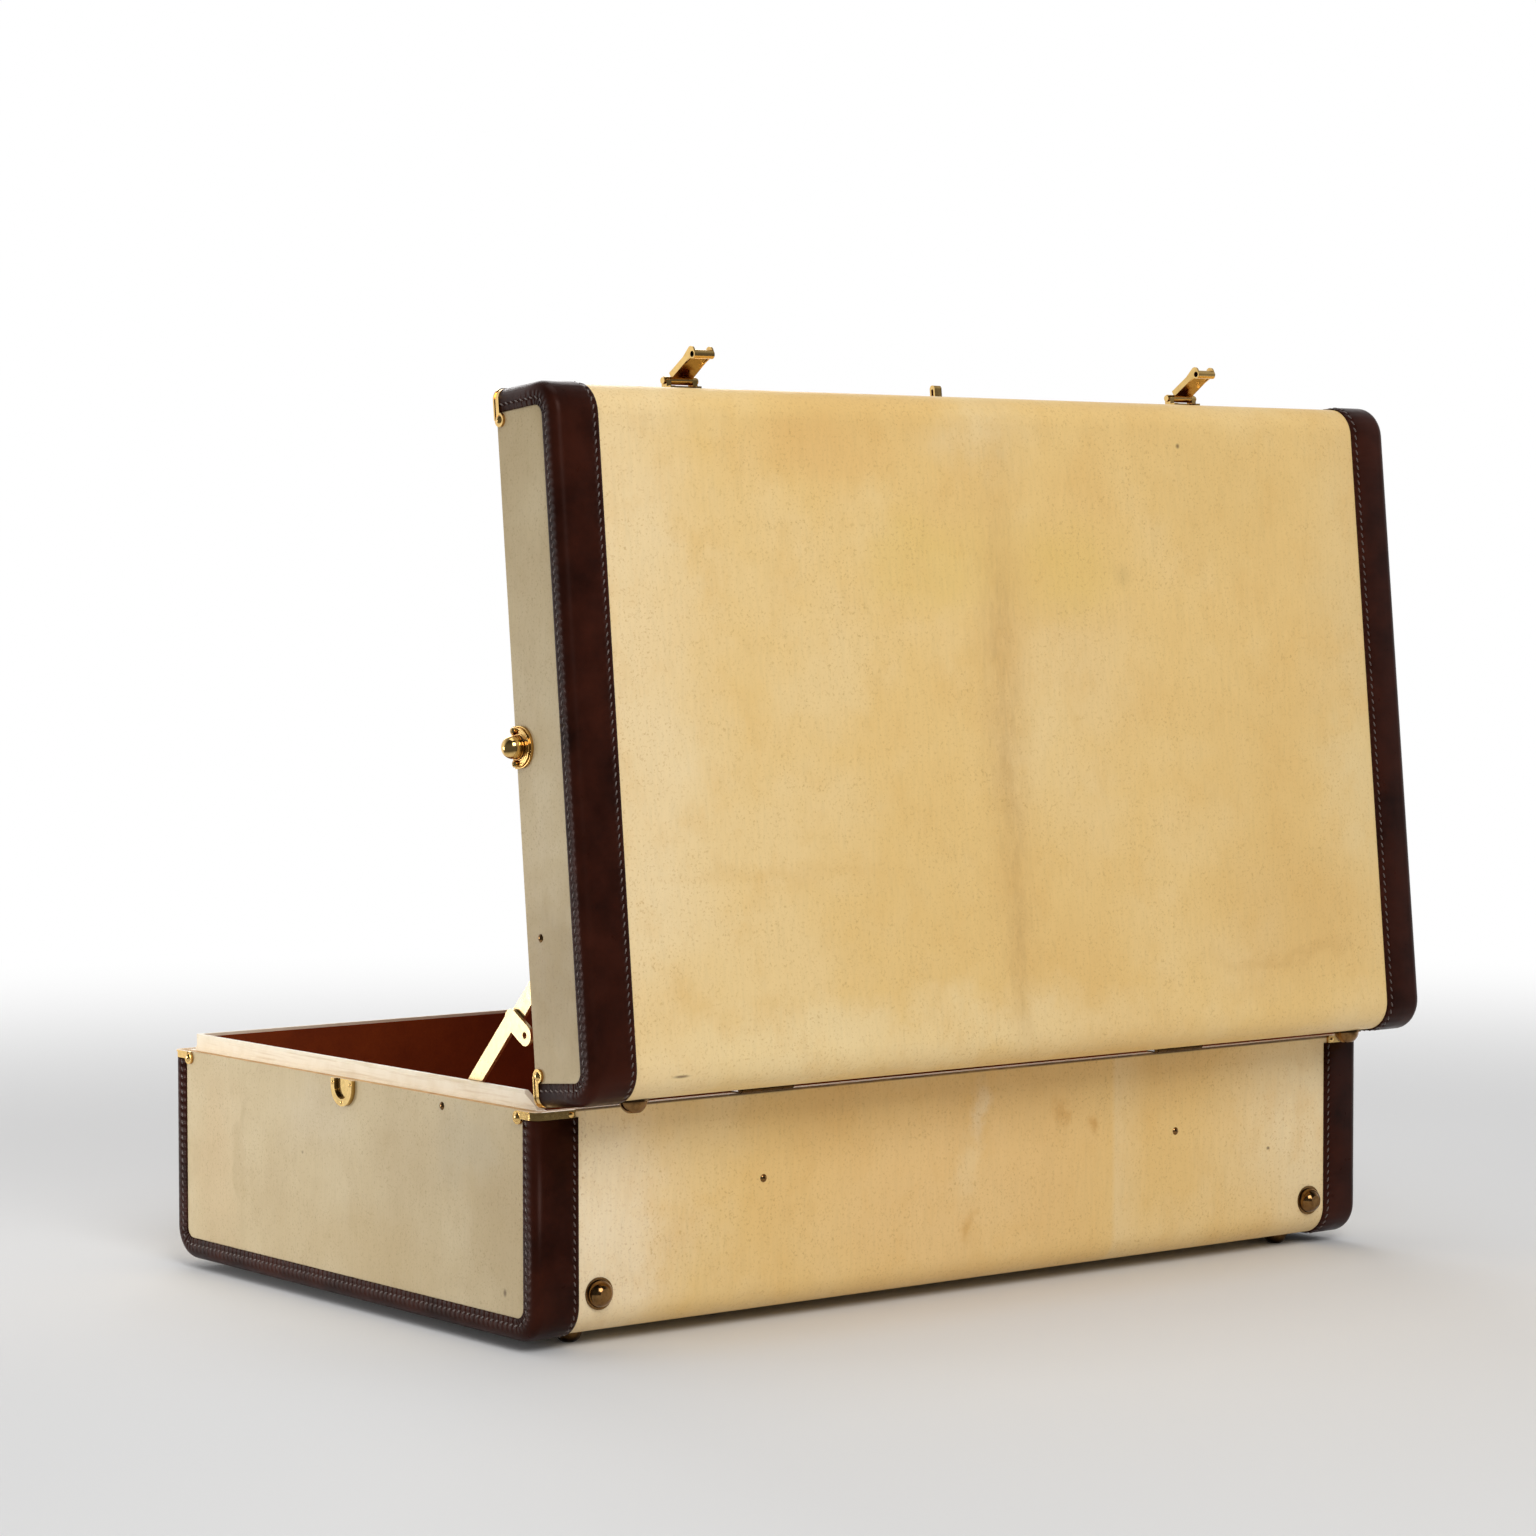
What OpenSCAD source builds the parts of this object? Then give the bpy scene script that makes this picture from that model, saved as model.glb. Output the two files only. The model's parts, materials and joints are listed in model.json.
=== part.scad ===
// A parchment-covered suitcase, shown open: a tray base and a shallow lid with leather-bound ends,
// brass corner clips, strap hinges, folding stays, end catches, front latches and a front handle.
// Everything is drawn with the lid closed on the base; open_lid() then swings the lid pieces open.
// Right is the +X end and the front is the -Y side.

/* [Case] */
// Length of the case over its parchment, end to end
case_w = 700; // [640:5:760]
// Depth of the case over its parchment, front to back
case_d = 430; // [390:5:460]
// Height of the base tray, from its underside to its rim
base_h = 140; // [130:1:160]
// Height of the closed lid above the base's rim
lid_h = 62; // [56:1:80]
// Radius of the long bends that join the broad faces to the front and back
corner_r = 20; // [18:0.5:24]
// Radius of the edges round the two ends
edge_r = 5; // [4:0.5:5.5]

/* [Walls] */
// Thickness of the wooden boards
board_t = 5; // [4.6:0.2:6]
// Thickness of the parchment glued on the boards
cover_t = 0.8; // [0.5:0.1:1.2]
// Thickness of the lining in the base
lining_t = 0.8; // [0.4:0.1:1]
// Thickness of the lining in the lid
lid_lining_t = 0.6; // [0.4:0.1:1]
// Gap between the two rims when the lid is down
rim_gap = 1.2; // [1.2:0.1:1.8]

/* [Leather bindings] */
// Thickness of the leather
leather_t = 1.5; // [1:0.1:2]
// Width of the leather on the long faces, from the end
band_w = 31; // [26:1:36]
// Width of the leather border on the end faces
border_w = 13; // [10:0.5:15]

/* [Rim frame] */
// Thickness of the inner frame boards
frame_t = 6.5; // [5.5:0.5:8]
// Height of the tongue above the base's rim
tongue_h = 10.5; // [7:0.5:11.5]
// Clearance between the tongue and the lid's lining
tongue_gap = 1.4; // [1:0.1:1.8]
// Height of the bead at the foot of the tongue
bead_h = 2; // [1:0.5:3]
// How far the bead stands out of the tongue
bead_out = 0.7; // [0.3:0.1:0.8]
// Length of the slope that ends the tongue at the back
tongue_slope = 18; // [10:1:30]
// Radius of the tongue's front corners
tongue_r = 7; // [3:0.5:9]
// Size of the bevel along the tongue's top
tongue_bevel = 1.6; // [0.5:0.1:2.5]

/* [Opening] */
// Angle at which the stays hold the lid open
open_angle = 84.5; // [75:0.5:95]
// Distance of the hinge axis behind the back face
hinge_out = 2.8; // [2.8:0.1:3.4]
// Height of the hinge axis above the base's rim
hinge_up = 2; // [1.8:0.1:2.4]

/* [Hinges] */
// Distance of each hinge from the middle of the case
hinge_x = 177; // [120:1:240]
// Length of a hinge's knuckles, end to end
hinge_len = 40; // [30:1:50]
// Radius of the knuckles
knuckle_r = 1.9; // [1.8:0.1:2.6]
// Radius of the hinge pin
pin_r = 1; // [0.8:0.1:1.1]
// Thickness of the hinge straps
leaf_t = 0.8; // [0.6:0.1:0.9]
// Width of the hinge straps inside the case
strap_w = 20; // [14:1:26]
// Depth of the base's strap below the rim
strap_len = 62; // [58:1:80]
// Depth of the rivet through the base's strap below the rim
strap_rivet_z = 55; // [45:1:56]
// Height of the lid's strap above its rim
lid_strap_len = 34; // [28:1:38]

/* [Feet] */
// Diameter of a foot's flange
foot_d = 20; // [16:1:22]
// Height of a foot
foot_h = 8; // [6:0.5:10]
// Diameter of the flat worn on top of a foot
foot_flat_d = 8; // [5:0.5:9]
// Thickness of a foot's flange
foot_flange_t = 1.2; // [0.8:0.1:2]
// Distance of the feet from the ends of the case
foot_inset_x = 46; // [44:1:80]
// Distance of the bottom feet from the front and back
foot_inset_y = 32; // [32:1:60]
// Distance of the rear feet from the broad faces
foot_inset_z = 26; // [24:1:30]

/* [Corner clips] */
// Height of a brass corner clip where it rounds the corner
clip_h = 5; // [4:0.5:7]
// Thickness of a corner clip
clip_t = 1.8; // [1.6:0.1:2.2]
// Radius of the round end of a clip's leg on the end face
clip_end_r = 4.3; // [3.5:0.1:5]
// Length of a clip's leg along the front or back
clip_side = 28; // [20:1:34]
// Height of the lip along a clip's rim edge
clip_lip_h = 1.2; // [0.8:0.1:1.6]
// How far the lip stands out of the clip
clip_lip_out = 0.5; // [0.2:0.1:0.8]
// Radius of the nail heads on the end faces
nail_r = 2.9; // [2:0.1:3.4]
// Radius of the nail heads on the front and back
side_nail_r = 2; // [1.5:0.1:2.4]

/* [Folding stays] */
// Distance of the stay's base pivot from the back face
stay_base_back = 102; // [95:1:115]
// Depth of the stay's base pivot below the rim
stay_base_down = 6; // [5:0.5:12]
// Distance of the stay's lid pivot from the back face
stay_lid_back = 100; // [93:1:111]
// Height of the stay's lid pivot above the base's rim, lid down
stay_lid_up = 15.2; // [14.5:0.1:20]
// Length of the lower arm, pivot to elbow
stay_lower_len = 80; // [74:0.5:86]
// Width of the stay arms
stay_w = 11; // [8:0.5:12]
// Thickness of the stay arms
stay_t = 2.5; // [1.5:0.1:2.8]
// Clearance at the sides of the stay arms
stay_gap = 0.4; // [0.3:0.1:0.6]
// Distance of the thumb tail's end from the elbow
stay_tail = 17; // [14:0.5:20]
// Radius of the thumb tail
stay_tail_r = 6.5; // [5:0.5:7]
// Radius of the hole in the thumb tail
stay_tail_hole_r = 2.2; // [1.5:0.1:3]
// Radius of the pivot pins
stay_pin_r = 2.5; // [2:0.1:3]
// Radius of the rivet heads
rivet_r = 2.6; // [2:0.1:3.2]

/* [End catches] */
// Radius of the catch plates
catch_r = 12.8; // [12:0.2:15]
// Thickness of the catch plates
catch_t = 3; // [2.6:0.1:4]
// Height of the knob's axis above the base's rim when it is up
catch_up = 7; // [6.4:0.1:8]
// Radius of the knob
catch_knob_r = 7.2; // [6:0.1:7.4]
// Length of the knob
catch_knob_len = 10.4; // [8:0.2:14]
// Travel of the knob from its plate into the cup
catch_travel = 11.5; // [9:0.1:12]
// Clearance round the knob in the cup
catch_gap = 1.1; // [0.8:0.1:1.4]
// Depth of the cup plate below the rim
cup_depth = 17.5; // [16:0.5:20]
// Radius of the knob's neck
catch_neck_r = 3; // [2:0.1:3.4]

/* [Front latches] */
// Distance of each latch from the middle of the case
latch_x = 214; // [150:1:250]
// Width of the latch's hinge plate on the lid
latch_plate_w = 50; // [44:1:56]
// Height of the latch's hinge plate
latch_plate_h = 20; // [17:0.5:24]
// Distance of the latch hinge axis from the front face
latch_axis_out = 10; // [9:0.2:12]
// Height of the latch hinge axis above the base's rim
latch_axis_up = 5; // [4.8:0.2:8]
// Length of the hasp from its axis to its lip
hasp_len = 31; // [30:0.5:36]
// Width of the hasp at its hinge
hasp_w = 16.5; // [15:0.5:22]
// Width of the hasp at its lip
hasp_tip_w = 15.5; // [14:0.5:18]
// Depth of the hasp's side flanges
hasp_flange = 4.2; // [3.5:0.1:5]
// Radius of the rolled lip
hasp_roll_r = 2.8; // [2:0.1:3]
// Angle through which the hasp stands open from its closed position
hasp_open = 151.5; // [120:0.5:160]
// Width of the latch body's plate on the base
latch_body_w = 28; // [26:1:34]
// Height of the latch body's plate
latch_body_h = 42; // [40:1:50]
// Travel of the latch button
button_travel = 5; // [3:0.5:6]

/* [Centre lock] */
// Distance of the lock to the right of the case's middle
lock_x = 8; // [-20:1:20]
// Height of the staple
staple_h = 12.6; // [10:0.2:16]
// Width of the staple's plate on the lid
staple_plate_w = 34; // [30:1:40]
// Width of the staple
staple_w = 6; // [5:0.5:8]
// Length of the centre hasp
centre_hasp_len = 30; // [28:0.5:32]
// Width of the centre hasp
centre_hasp_w = 24; // [20:1:30]

/* [Handle] */
// Size of a handle bracket's plate
bracket_w = 26; // [23:1:30]
// Height of the handle's pivots on the front
handle_z = 86; // [76:1:88]
// Distance between the handle's pivots
handle_span = 124; // [110:2:160]
// Distance of the handle's pivots from the front face
handle_out = 9; // [9:0.5:12]
// Radial width of the grip
grip_w = 16; // [12:0.5:20]
// Thickness of the grip
grip_t = 11; // [9:0.5:12]
// How far the grip bows below its ends
grip_sag = 18; // [12:1:22]

/* [Hidden] */
$fn = 64;

// Colours of the real materials
parchment = "#E6C891";
end_parchment = "#C0AD86";
leather = "#38191A";
brass = "#D9A441";
stay_brass = "#E9CFA0";
dark_brass = "#5E4320";
lining = "#5A2210";
frame_skin = "#F3E6C8";
wood = "#C79A62";

// A little more than nothing, for cuts that run past a face
cut = 1;
// Running clearance of a pin in its bore
run = 0.05;
// Clearance between neighbouring knuckles and between small moving pieces
small_gap = 0.2;

wall = cover_t + board_t;
half_w = case_w / 2;
half_d = case_d / 2;
inner_w = half_w - wall;
inner_d = half_d - wall;
lid_tray_h = lid_h - rim_gap;
lid_top = base_h + lid_h;
hinge_y = half_d + hinge_out;
hinge_z = base_h + hinge_up;

// The origin is the middle of the open case's floor plan, at the soles of its feet
grip_forward = 2;
socket_grow = 0.6;
handle_front = handle_out + grip_forward + grip_t / 2 + socket_grow;
lid_bend_y = -(corner_r + hinge_out);
lid_bend_z = lid_top - hinge_z - corner_r;
open_back = hinge_y + lid_bend_y * cos(open_angle) + lid_bend_z * sin(open_angle)
    + corner_r + leather_t;
y_shift = -(open_back - half_d - handle_front) / 2;

// Places shared by pieces that meet
frame_x = inner_w - frame_t;
frame_y = inner_d - frame_t;
tongue_x = inner_w - lid_lining_t - tongue_gap;
tongue_y = inner_d - lid_lining_t - tongue_gap;
tongue_back = inner_d - lining_t - 0.9;
stay_base_y = half_d - stay_base_back;
stay_lid_y = half_d - stay_lid_back;
stay_base_z = base_h - stay_base_down;
stay_lid_z = base_h + stay_lid_up;
lower_arm_x = frame_x - lining_t - stay_gap * 2 - stay_t;
upper_arm_x = lower_arm_x - stay_gap - stay_t;

// Turns a point of the closed lid about the hinge axis to its open place, as [y, z]
function opened(y, z) = [
    hinge_y + (y - hinge_y) * cos(open_angle) + (z - hinge_z) * sin(open_angle),
    hinge_z - (y - hinge_y) * sin(open_angle) + (z - hinge_z) * cos(open_angle)
];
stay_lid_open = opened(stay_lid_y, stay_lid_z);
stay_run = [stay_lid_open[0] - stay_base_y, stay_lid_open[1] - stay_base_z];
stay_angle = atan2(stay_run[1], stay_run[0]);
stay_upper_len = norm(stay_run) - stay_lower_len;

// General shapes

// The whole object in its own frame
module placed() {
    translate([0, y_shift, foot_h]) children();
}

// Pieces of the lid, drawn closed, swung open about the hinge axis
module open_lid() {
    translate([0, hinge_y, hinge_z]) rotate([-open_angle, 0, 0])
        translate([0, -hinge_y, -hinge_z]) children();
}

// A tray drawn like the base, turned over to make the closed lid
module as_lid() {
    translate([0, 0, lid_top]) mirror([0, 0, 1]) children();
}

module both_ends() {
    for (side = [0, 1]) mirror([side, 0, 0]) children();
}

module front_and_back() {
    for (side = [0, 1]) mirror([0, side, 0]) children();
}

// Drawing plane on the front face: x along the case, y up, z out of the face
module on_front(x, z) {
    translate([x, -half_d, z]) rotate([90, 0, 0]) children();
}

// Drawing plane on the right end face: x to the back, y up, z out of the face
module on_end(y, z) {
    translate([half_w, y, z]) rotate([90, 0, 90]) children();
}

// Drawing plane on the back face: x to the left, y up, z out of the face
module on_back(x, z) {
    translate([x, half_d, z]) rotate([90, 0, 180]) children();
}

// Extrudes a (y, z) outline along x from x0 to x1
module along_x(x0, x1) {
    translate([x0, 0, 0]) rotate([90, 0, 90]) linear_extrude(x1 - x0) children();
}

// Sweeps a section round the front, the bend, the broad face, the bend and the back.
// In the section x runs along the case and y is the distance out of the outer face.
module round_the_tray(height) {
    front_and_back() {
        translate([0, half_d, corner_r]) linear_extrude(height - corner_r) children();
        translate([0, half_d - corner_r, corner_r]) rotate([0, 90, 0])
            rotate_extrude(angle = 90) translate([corner_r, 0]) mirror([1, -1]) children();
    }
    translate([0, corner_r - half_d, 0]) rotate([-90, 0, 0])
        linear_extrude(case_d - 2 * corner_r) children();
}

// A flat-based slab whose two upper corners are rounded
module rounded_slab(half, top, bottom, r) {
    difference() {
        translate([-half, bottom]) square([2 * half, top - bottom]);
        for (side = [-1, 1])
            difference() {
                translate([side * (half - r / 2 + cut / 2), top - r / 2 + cut / 2])
                    square(r + cut, center = true);
                translate([side * (half - r), top - r]) circle(r);
            }
    }
}

// The tray's inside outline in (y, z), a given distance in from its outer faces
module tray_outline(inset, height) {
    translate([inset - half_d, corner_r])
        square([case_d - 2 * inset, height - corner_r]);
    translate([corner_r - half_d, inset])
        square([case_d - 2 * corner_r, corner_r - inset + 0.01]);
    for (side = [-1, 1])
        translate([side * (half_d - corner_r), corner_r]) circle(corner_r - inset);
}

module rounded_plate(w, h, r) {
    square([w - 2 * r, h], center = true);
    square([w, h - 2 * r], center = true);
    for (x = [-1, 1], y = [-1, 1])
        translate([x * (w / 2 - r), y * (h / 2 - r)]) circle(r);
}

// A bar with round ends between two points
module bar(p, q, r) {
    translate(p) circle(r);
    translate(q) circle(r);
    translate(p) rotate(atan2(q[1] - p[1], q[0] - p[0]))
        translate([0, -r]) square([norm(q - p), 2 * r]);
}

// A shallow dome standing on z = 0
module dome(r, h) {
    ball_r = (r * r + h * h) / (2 * h);
    intersection() {
        translate([0, 0, h - ball_r]) sphere(ball_r);
        cylinder(h = h + cut, r = r + cut);
    }
}

// A slotted screw head standing on z = 0
module screw_head(r) {
    difference() {
        dome(r, r * 0.45);
        translate([-r, -r * 0.12, r * 0.2]) cube([2 * r, r * 0.24, r]);
    }
}

// A cylinder along x, centred on x = 0
module x_rod(length, r) {
    rotate([0, 90, 0]) cylinder(h = length, r = r, center = true);
}

// Wooden trays

module wrap_board(height) {
    round_the_tray(height) rounded_slab(half_w - cover_t, -cover_t, -wall, edge_r - cover_t);
}

module end_boards(height) {
    both_ends() along_x(inner_w, half_w - cover_t) tray_outline(wall, height);
}

module wrap_covering(height) {
    round_the_tray(height) difference() {
        rounded_slab(half_w, 0, -wall, edge_r);
        rounded_slab(half_w - cover_t, -cover_t, -wall - cut, edge_r - cover_t);
    }
}

module end_coverings(height) {
    both_ends() along_x(half_w - cover_t, half_w) tray_outline(wall, height);
}

// The leather folds over the end edge and stops under the corner clips
module binding(height) {
    round_the_tray(height - clip_h) difference() {
        rounded_slab(half_w + leather_t, leather_t, -border_w, edge_r + leather_t);
        rounded_slab(half_w, 0, -border_w - cut, edge_r);
        translate([-half_w - 2 * cut - leather_t, -border_w - cut])
            square([case_w - band_w + 2 * cut + leather_t, border_w + 3 * cut + leather_t]);
    }
}

// Where the lid's hinge leaves cross its wall, from the rim down by their thickness
module leaf_notches() {
    for (side = [-1, 1])
        translate([side * hinge_x, half_d - wall / 2, lid_tray_h])
            cube([hinge_len + 2 * small_gap, wall + 2 * cut, 2 * leaf_t], center = true);
}

// Brass clip round one rim corner. Its leg on the end face ends in a round head beside the leather,
// its other leg lies along the front or back, and a lip follows the rim edge of both
clip_nail_y = border_w + small_gap + clip_end_r;
clip_nail_side = clip_side - side_nail_r - 1;

module corner_clip(height) {
    nail_z = height - clip_end_r;
    clip_strip(height, clip_h, clip_t);
    clip_strip(height, clip_lip_h, clip_t + clip_lip_out);
    translate([half_w, half_d - clip_nail_y, nail_z]) rotate([0, 90, 0]) {
        cylinder(h = clip_t, r = clip_end_r);
        translate([0, 0, clip_t]) dome(nail_r, nail_r * 0.55);
    }
    translate([half_w - clip_nail_side, half_d + clip_t, height - clip_h / 2 - clip_lip_h / 4])
        rotate([-90, 0, 0]) dome(side_nail_r, side_nail_r * 0.5);
}

// Strip of a given height and thickness round the corner, below the rim
module clip_strip(height, h, t) {
    translate([0, 0, height - h]) linear_extrude(h) intersection() {
        difference() {
            rounded_slab_corner(t);
            rounded_slab_corner(0);
        }
        translate([half_w - clip_side, half_d - clip_nail_y])
            square([clip_side + 2 * t, clip_nail_y + 2 * t]);
    }
}

// One rounded corner of the case's plan, grown by a thickness
module rounded_slab_corner(grow) {
    far = half_d - clip_nail_y - 2 * cut;
    intersection() {
        translate([0, half_d]) rounded_slab(half_w + grow, grow, far - half_d, edge_r + grow);
        translate([0, far]) square([half_w + grow + cut, half_d]);
    }
}

module corner_clips(height) {
    both_ends() front_and_back() corner_clip(height);
}

module base_board() {
    color(wood) placed() wrap_board(base_h);
}

module base_end_boards() {
    color(wood) placed() end_boards(base_h);
}

module base_covering() {
    color(parchment) placed() wrap_covering(base_h);
}

module base_end_coverings() {
    color(end_parchment) placed() end_coverings(base_h);
}

module base_binding_right() {
    color(leather) placed() binding(base_h);
}

module base_binding_left() {
    color(leather) placed() mirror([1, 0, 0]) binding(base_h);
}

module base_corner_clips() {
    color(brass) placed() corner_clips(base_h);
}

module lid_board() {
    color(wood) placed() open_lid() as_lid() difference() {
        wrap_board(lid_tray_h);
        leaf_notches();
    }
}

module lid_end_boards() {
    color(wood) placed() open_lid() as_lid() end_boards(lid_tray_h);
}

module lid_covering() {
    color(parchment) placed() open_lid() as_lid() difference() {
        wrap_covering(lid_tray_h);
        leaf_notches();
    }
}

module lid_end_coverings() {
    color(end_parchment) placed() open_lid() as_lid() end_coverings(lid_tray_h);
}

module lid_binding_right() {
    color(leather) placed() open_lid() as_lid() binding(lid_tray_h);
}

module lid_binding_left() {
    color(leather) placed() open_lid() as_lid() mirror([1, 0, 0]) binding(lid_tray_h);
}

module lid_corner_clips() {
    color(brass) placed() open_lid() as_lid() corner_clips(lid_tray_h);
}

// Linings

// Space inside the frame boards in (y, z), a given distance in from them
module base_hollow(inset, height) {
    intersection() {
        tray_outline(wall + inset, height);
        translate([inset - frame_y, 0]) square([case_d, height]);
    }
}

// The end outline of the tongue, with its slope at the back
module tongue_outline(front, top) {
    polygon([
        [front, base_h - 0.01], [tongue_back, base_h - 0.01],
        [tongue_back - tongue_slope, top], [front, top]
    ]);
}

module base_lining() {
    lining_top = base_h + tongue_h - 2;
    back_top = base_h - small_gap;
    color(lining) placed() {
        along_x(-frame_x, frame_x) difference() {
            base_hollow(0, back_top);
            base_hollow(lining_t, base_h);
        }
        along_x(-frame_x, frame_x) translate([-frame_y, back_top - 0.01])
            square([lining_t, lining_top - back_top + 0.01]);
        both_ends() along_x(frame_x - lining_t, frame_x) {
            base_hollow(0, back_top);
            intersection() {
                tongue_outline(-frame_y, lining_top);
                translate([-frame_y, 0]) square([case_d, lining_top]);
            }
            translate([-frame_y, back_top - 0.01])
                square([frame_y + tongue_back, base_h - back_top + 0.01]);
        }
    }
}

module lid_lining() {
    color(lining) placed() open_lid() as_lid() difference() {
        along_x(-inner_w, inner_w) tray_outline(wall, lid_tray_h - leaf_t - 0.3);
        along_x(lid_lining_t - inner_w, inner_w - lid_lining_t)
            tray_outline(wall + lid_lining_t, lid_tray_h + cut);
    }
}

// Inner boards of the base; above the rim they are thinner and make the tongue
module rim_frame() {
    color(frame_skin) placed() {
        along_x(-inner_w, inner_w) intersection() {
            tray_outline(wall, base_h);
            translate([-inner_d, 0]) square([frame_t, base_h]);
        }
        both_ends() along_x(frame_x, inner_w) tray_outline(wall, base_h);
        tongue(0, tongue_h, tongue_bevel);
        tongue(bead_out, bead_h, 0);
    }
}

// A tongue standing on the rim along the front and both ends: its plan is rounded at the front
// corners, its ends slope down at the back and its top is bevelled
module tongue(grow, h, bevel) {
    top = base_h + h;
    side = tongue_x + grow;
    front = -tongue_y - grow;
    r = tongue_r + grow;
    intersection() {
        translate([0, 0, base_h - 0.01]) linear_extrude(h + cut) difference() {
            union() {
                translate([-side, front + r]) square([2 * side, tongue_back - front - r]);
                translate([r - side, front]) square([2 * (side - r), 2 * r]);
                for (end = [-1, 1]) translate([end * (side - r), front + r]) circle(r);
            }
            translate([-frame_x, -frame_y]) square([2 * frame_x, case_d]);
        }
        along_x(-inner_w, inner_w) polygon([
            [front, base_h - 0.01], [tongue_back, base_h - 0.01],
            [tongue_back - tongue_slope * h / tongue_h, top],
            [front + bevel, top], [front, top - bevel - 0.01]
        ]);
        translate([0, half_d, 0]) rotate([90, 0, 0]) linear_extrude(case_d) polygon([
            [-side, base_h - 0.01], [side, base_h - 0.01], [side, top - bevel - 0.01],
            [side - bevel, top], [bevel - side, top], [-side, top - bevel - 0.01]
        ]);
    }
}

// Feet and rivets

module foot() {
    dome_r = foot_d / 2 - 1.4;
    flat_r = foot_flat_d / 2;
    centre_z = (flat_r ^ 2 + foot_h ^ 2 - dome_r ^ 2 - foot_flange_t ^ 2)
        / (2 * (foot_h - foot_flange_t));
    ball_r = sqrt(flat_r ^ 2 + (foot_h - centre_z) ^ 2);
    rotate_extrude() {
        square([foot_d / 2, foot_flange_t]);
        intersection() {
            translate([0, centre_z]) circle(ball_r);
            square([foot_d, foot_h]);
        }
    }
}

module bottom_feet() {
    color(brass) placed() both_ends() front_and_back()
        translate([half_w - foot_inset_x, half_d - foot_inset_y, 0]) mirror([0, 0, 1]) foot();
}

module base_rear_feet() {
    color(brass) placed() for (side = [-1, 1])
        on_back(side * (half_w - foot_inset_x), foot_inset_z) foot();
}

module lid_rear_feet() {
    color(brass) placed() open_lid() for (side = [-1, 1])
        on_back(side * (half_w - foot_inset_x), lid_top - foot_inset_z) foot();
}

module base_rivets() {
    color(brass) placed() {
        for (side = [-1, 1])
            on_back(side * hinge_x, base_h - strap_rivet_z) dome(rivet_r, rivet_r * 0.5);
        both_ends() on_end(stay_base_y, stay_base_z) dome(rivet_r, rivet_r * 0.5);
    }
}

module lid_rivets() {
    color(brass) placed() open_lid() both_ends()
        on_end(stay_lid_y, stay_lid_z) dome(rivet_r, rivet_r * 0.5);
}

// Hinges: five knuckles in turn belong to the base, the lid, the base, the lid and the base

knuckle_step = hinge_len / 5;

module knuckle(index) {
    translate([(index - 2) * knuckle_step, 0, 0]) x_rod(knuckle_step - small_gap, knuckle_r);
}

module knuckle_bore() {
    x_rod(hinge_len + 2 * cut, pin_r + run);
}

// Flat tab from a knuckle to its leaf
module knuckle_tab(index, bottom) {
    translate([(index - 2.5) * knuckle_step + small_gap / 2, -hinge_out - small_gap, bottom])
        cube([knuckle_step - small_gap, hinge_out + small_gap, leaf_t]);
}

module rivet_row(top, bottom) {
    for (z = [top, bottom]) translate([0, 0, z]) rotate([90, 0, 0]) dome(rivet_r, rivet_r * 0.4);
}

// The base's leaf lies on the rim, in the gap below the lid, and its strap hangs down inside
module hinge_base_leaves() {
    strap_y = inner_d - lining_t - leaf_t - hinge_y;
    color(dark_brass) placed() for (side = [-1, 1]) translate([side * hinge_x, hinge_y, hinge_z]) {
        difference() {
            union() {
                for (index = [0, 2, 4]) {
                    knuckle(index);
                    knuckle_tab(index, -hinge_up);
                }
            }
            knuckle_bore();
        }
        translate([-hinge_len / 2, strap_y, -hinge_up])
            cube([hinge_len, -strap_y - hinge_out - small_gap, leaf_t]);
        translate([-strap_w / 2, strap_y, -hinge_up - strap_len])
            cube([strap_w, leaf_t, strap_len + leaf_t]);
        translate([0, strap_y, -hinge_up]) rivet_row(-strap_rivet_z, -strap_rivet_z / 2);
    }
}

// The lid's leaf is let into its rim
module hinge_lid_leaves() {
    tab_bottom = rim_gap - hinge_up;
    strap_y = inner_d - lid_lining_t - leaf_t - hinge_y;
    color(dark_brass) placed() open_lid() for (side = [-1, 1])
        translate([side * hinge_x, hinge_y, hinge_z]) {
            difference() {
                union() {
                    for (index = [1, 3]) {
                        knuckle(index);
                        knuckle_tab(index, tab_bottom);
                    }
                }
                knuckle_bore();
            }
            translate([-hinge_len / 2, strap_y, tab_bottom])
                cube([hinge_len, -strap_y - hinge_out - small_gap, leaf_t]);
            translate([-strap_w / 2, strap_y, tab_bottom])
                cube([strap_w, leaf_t, lid_strap_len]);
            translate([0, strap_y, tab_bottom])
                rivet_row(lid_strap_len * 0.8, lid_strap_len * 0.4);
        }
}

module hinge_pins() {
    color(dark_brass) placed() for (side = [-1, 1]) translate([side * hinge_x, hinge_y, hinge_z]) {
        x_rod(hinge_len + 2 * small_gap, pin_r);
        for (end = [-1, 1])
            translate([end * (hinge_len / 2 + small_gap + 0.4), 0, 0]) x_rod(0.8, pin_r + 0.6);
    }
}

// Folding stays: a lower arm on the base and an upper arm on the lid, side by side

stay_head_t = 1;
stay_end_r = stay_w / 2 + 0.5;

module stay_base_studs() {
    color(brass) placed() both_ends() translate([0, stay_base_y, stay_base_z]) rotate([0, 90, 0]) {
        translate([0, 0, lower_arm_x - stay_gap])
            cylinder(h = frame_x - lining_t - lower_arm_x + stay_gap, r = stay_pin_r);
        translate([0, 0, lower_arm_x + stay_t + stay_gap])
            cylinder(h = frame_x - lining_t - lower_arm_x - stay_t - stay_gap, r = stay_pin_r + 2.5);
        translate([0, 0, lower_arm_x - stay_gap - stay_head_t])
            cylinder(h = stay_head_t, r = stay_pin_r + 2);
    }
}

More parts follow.
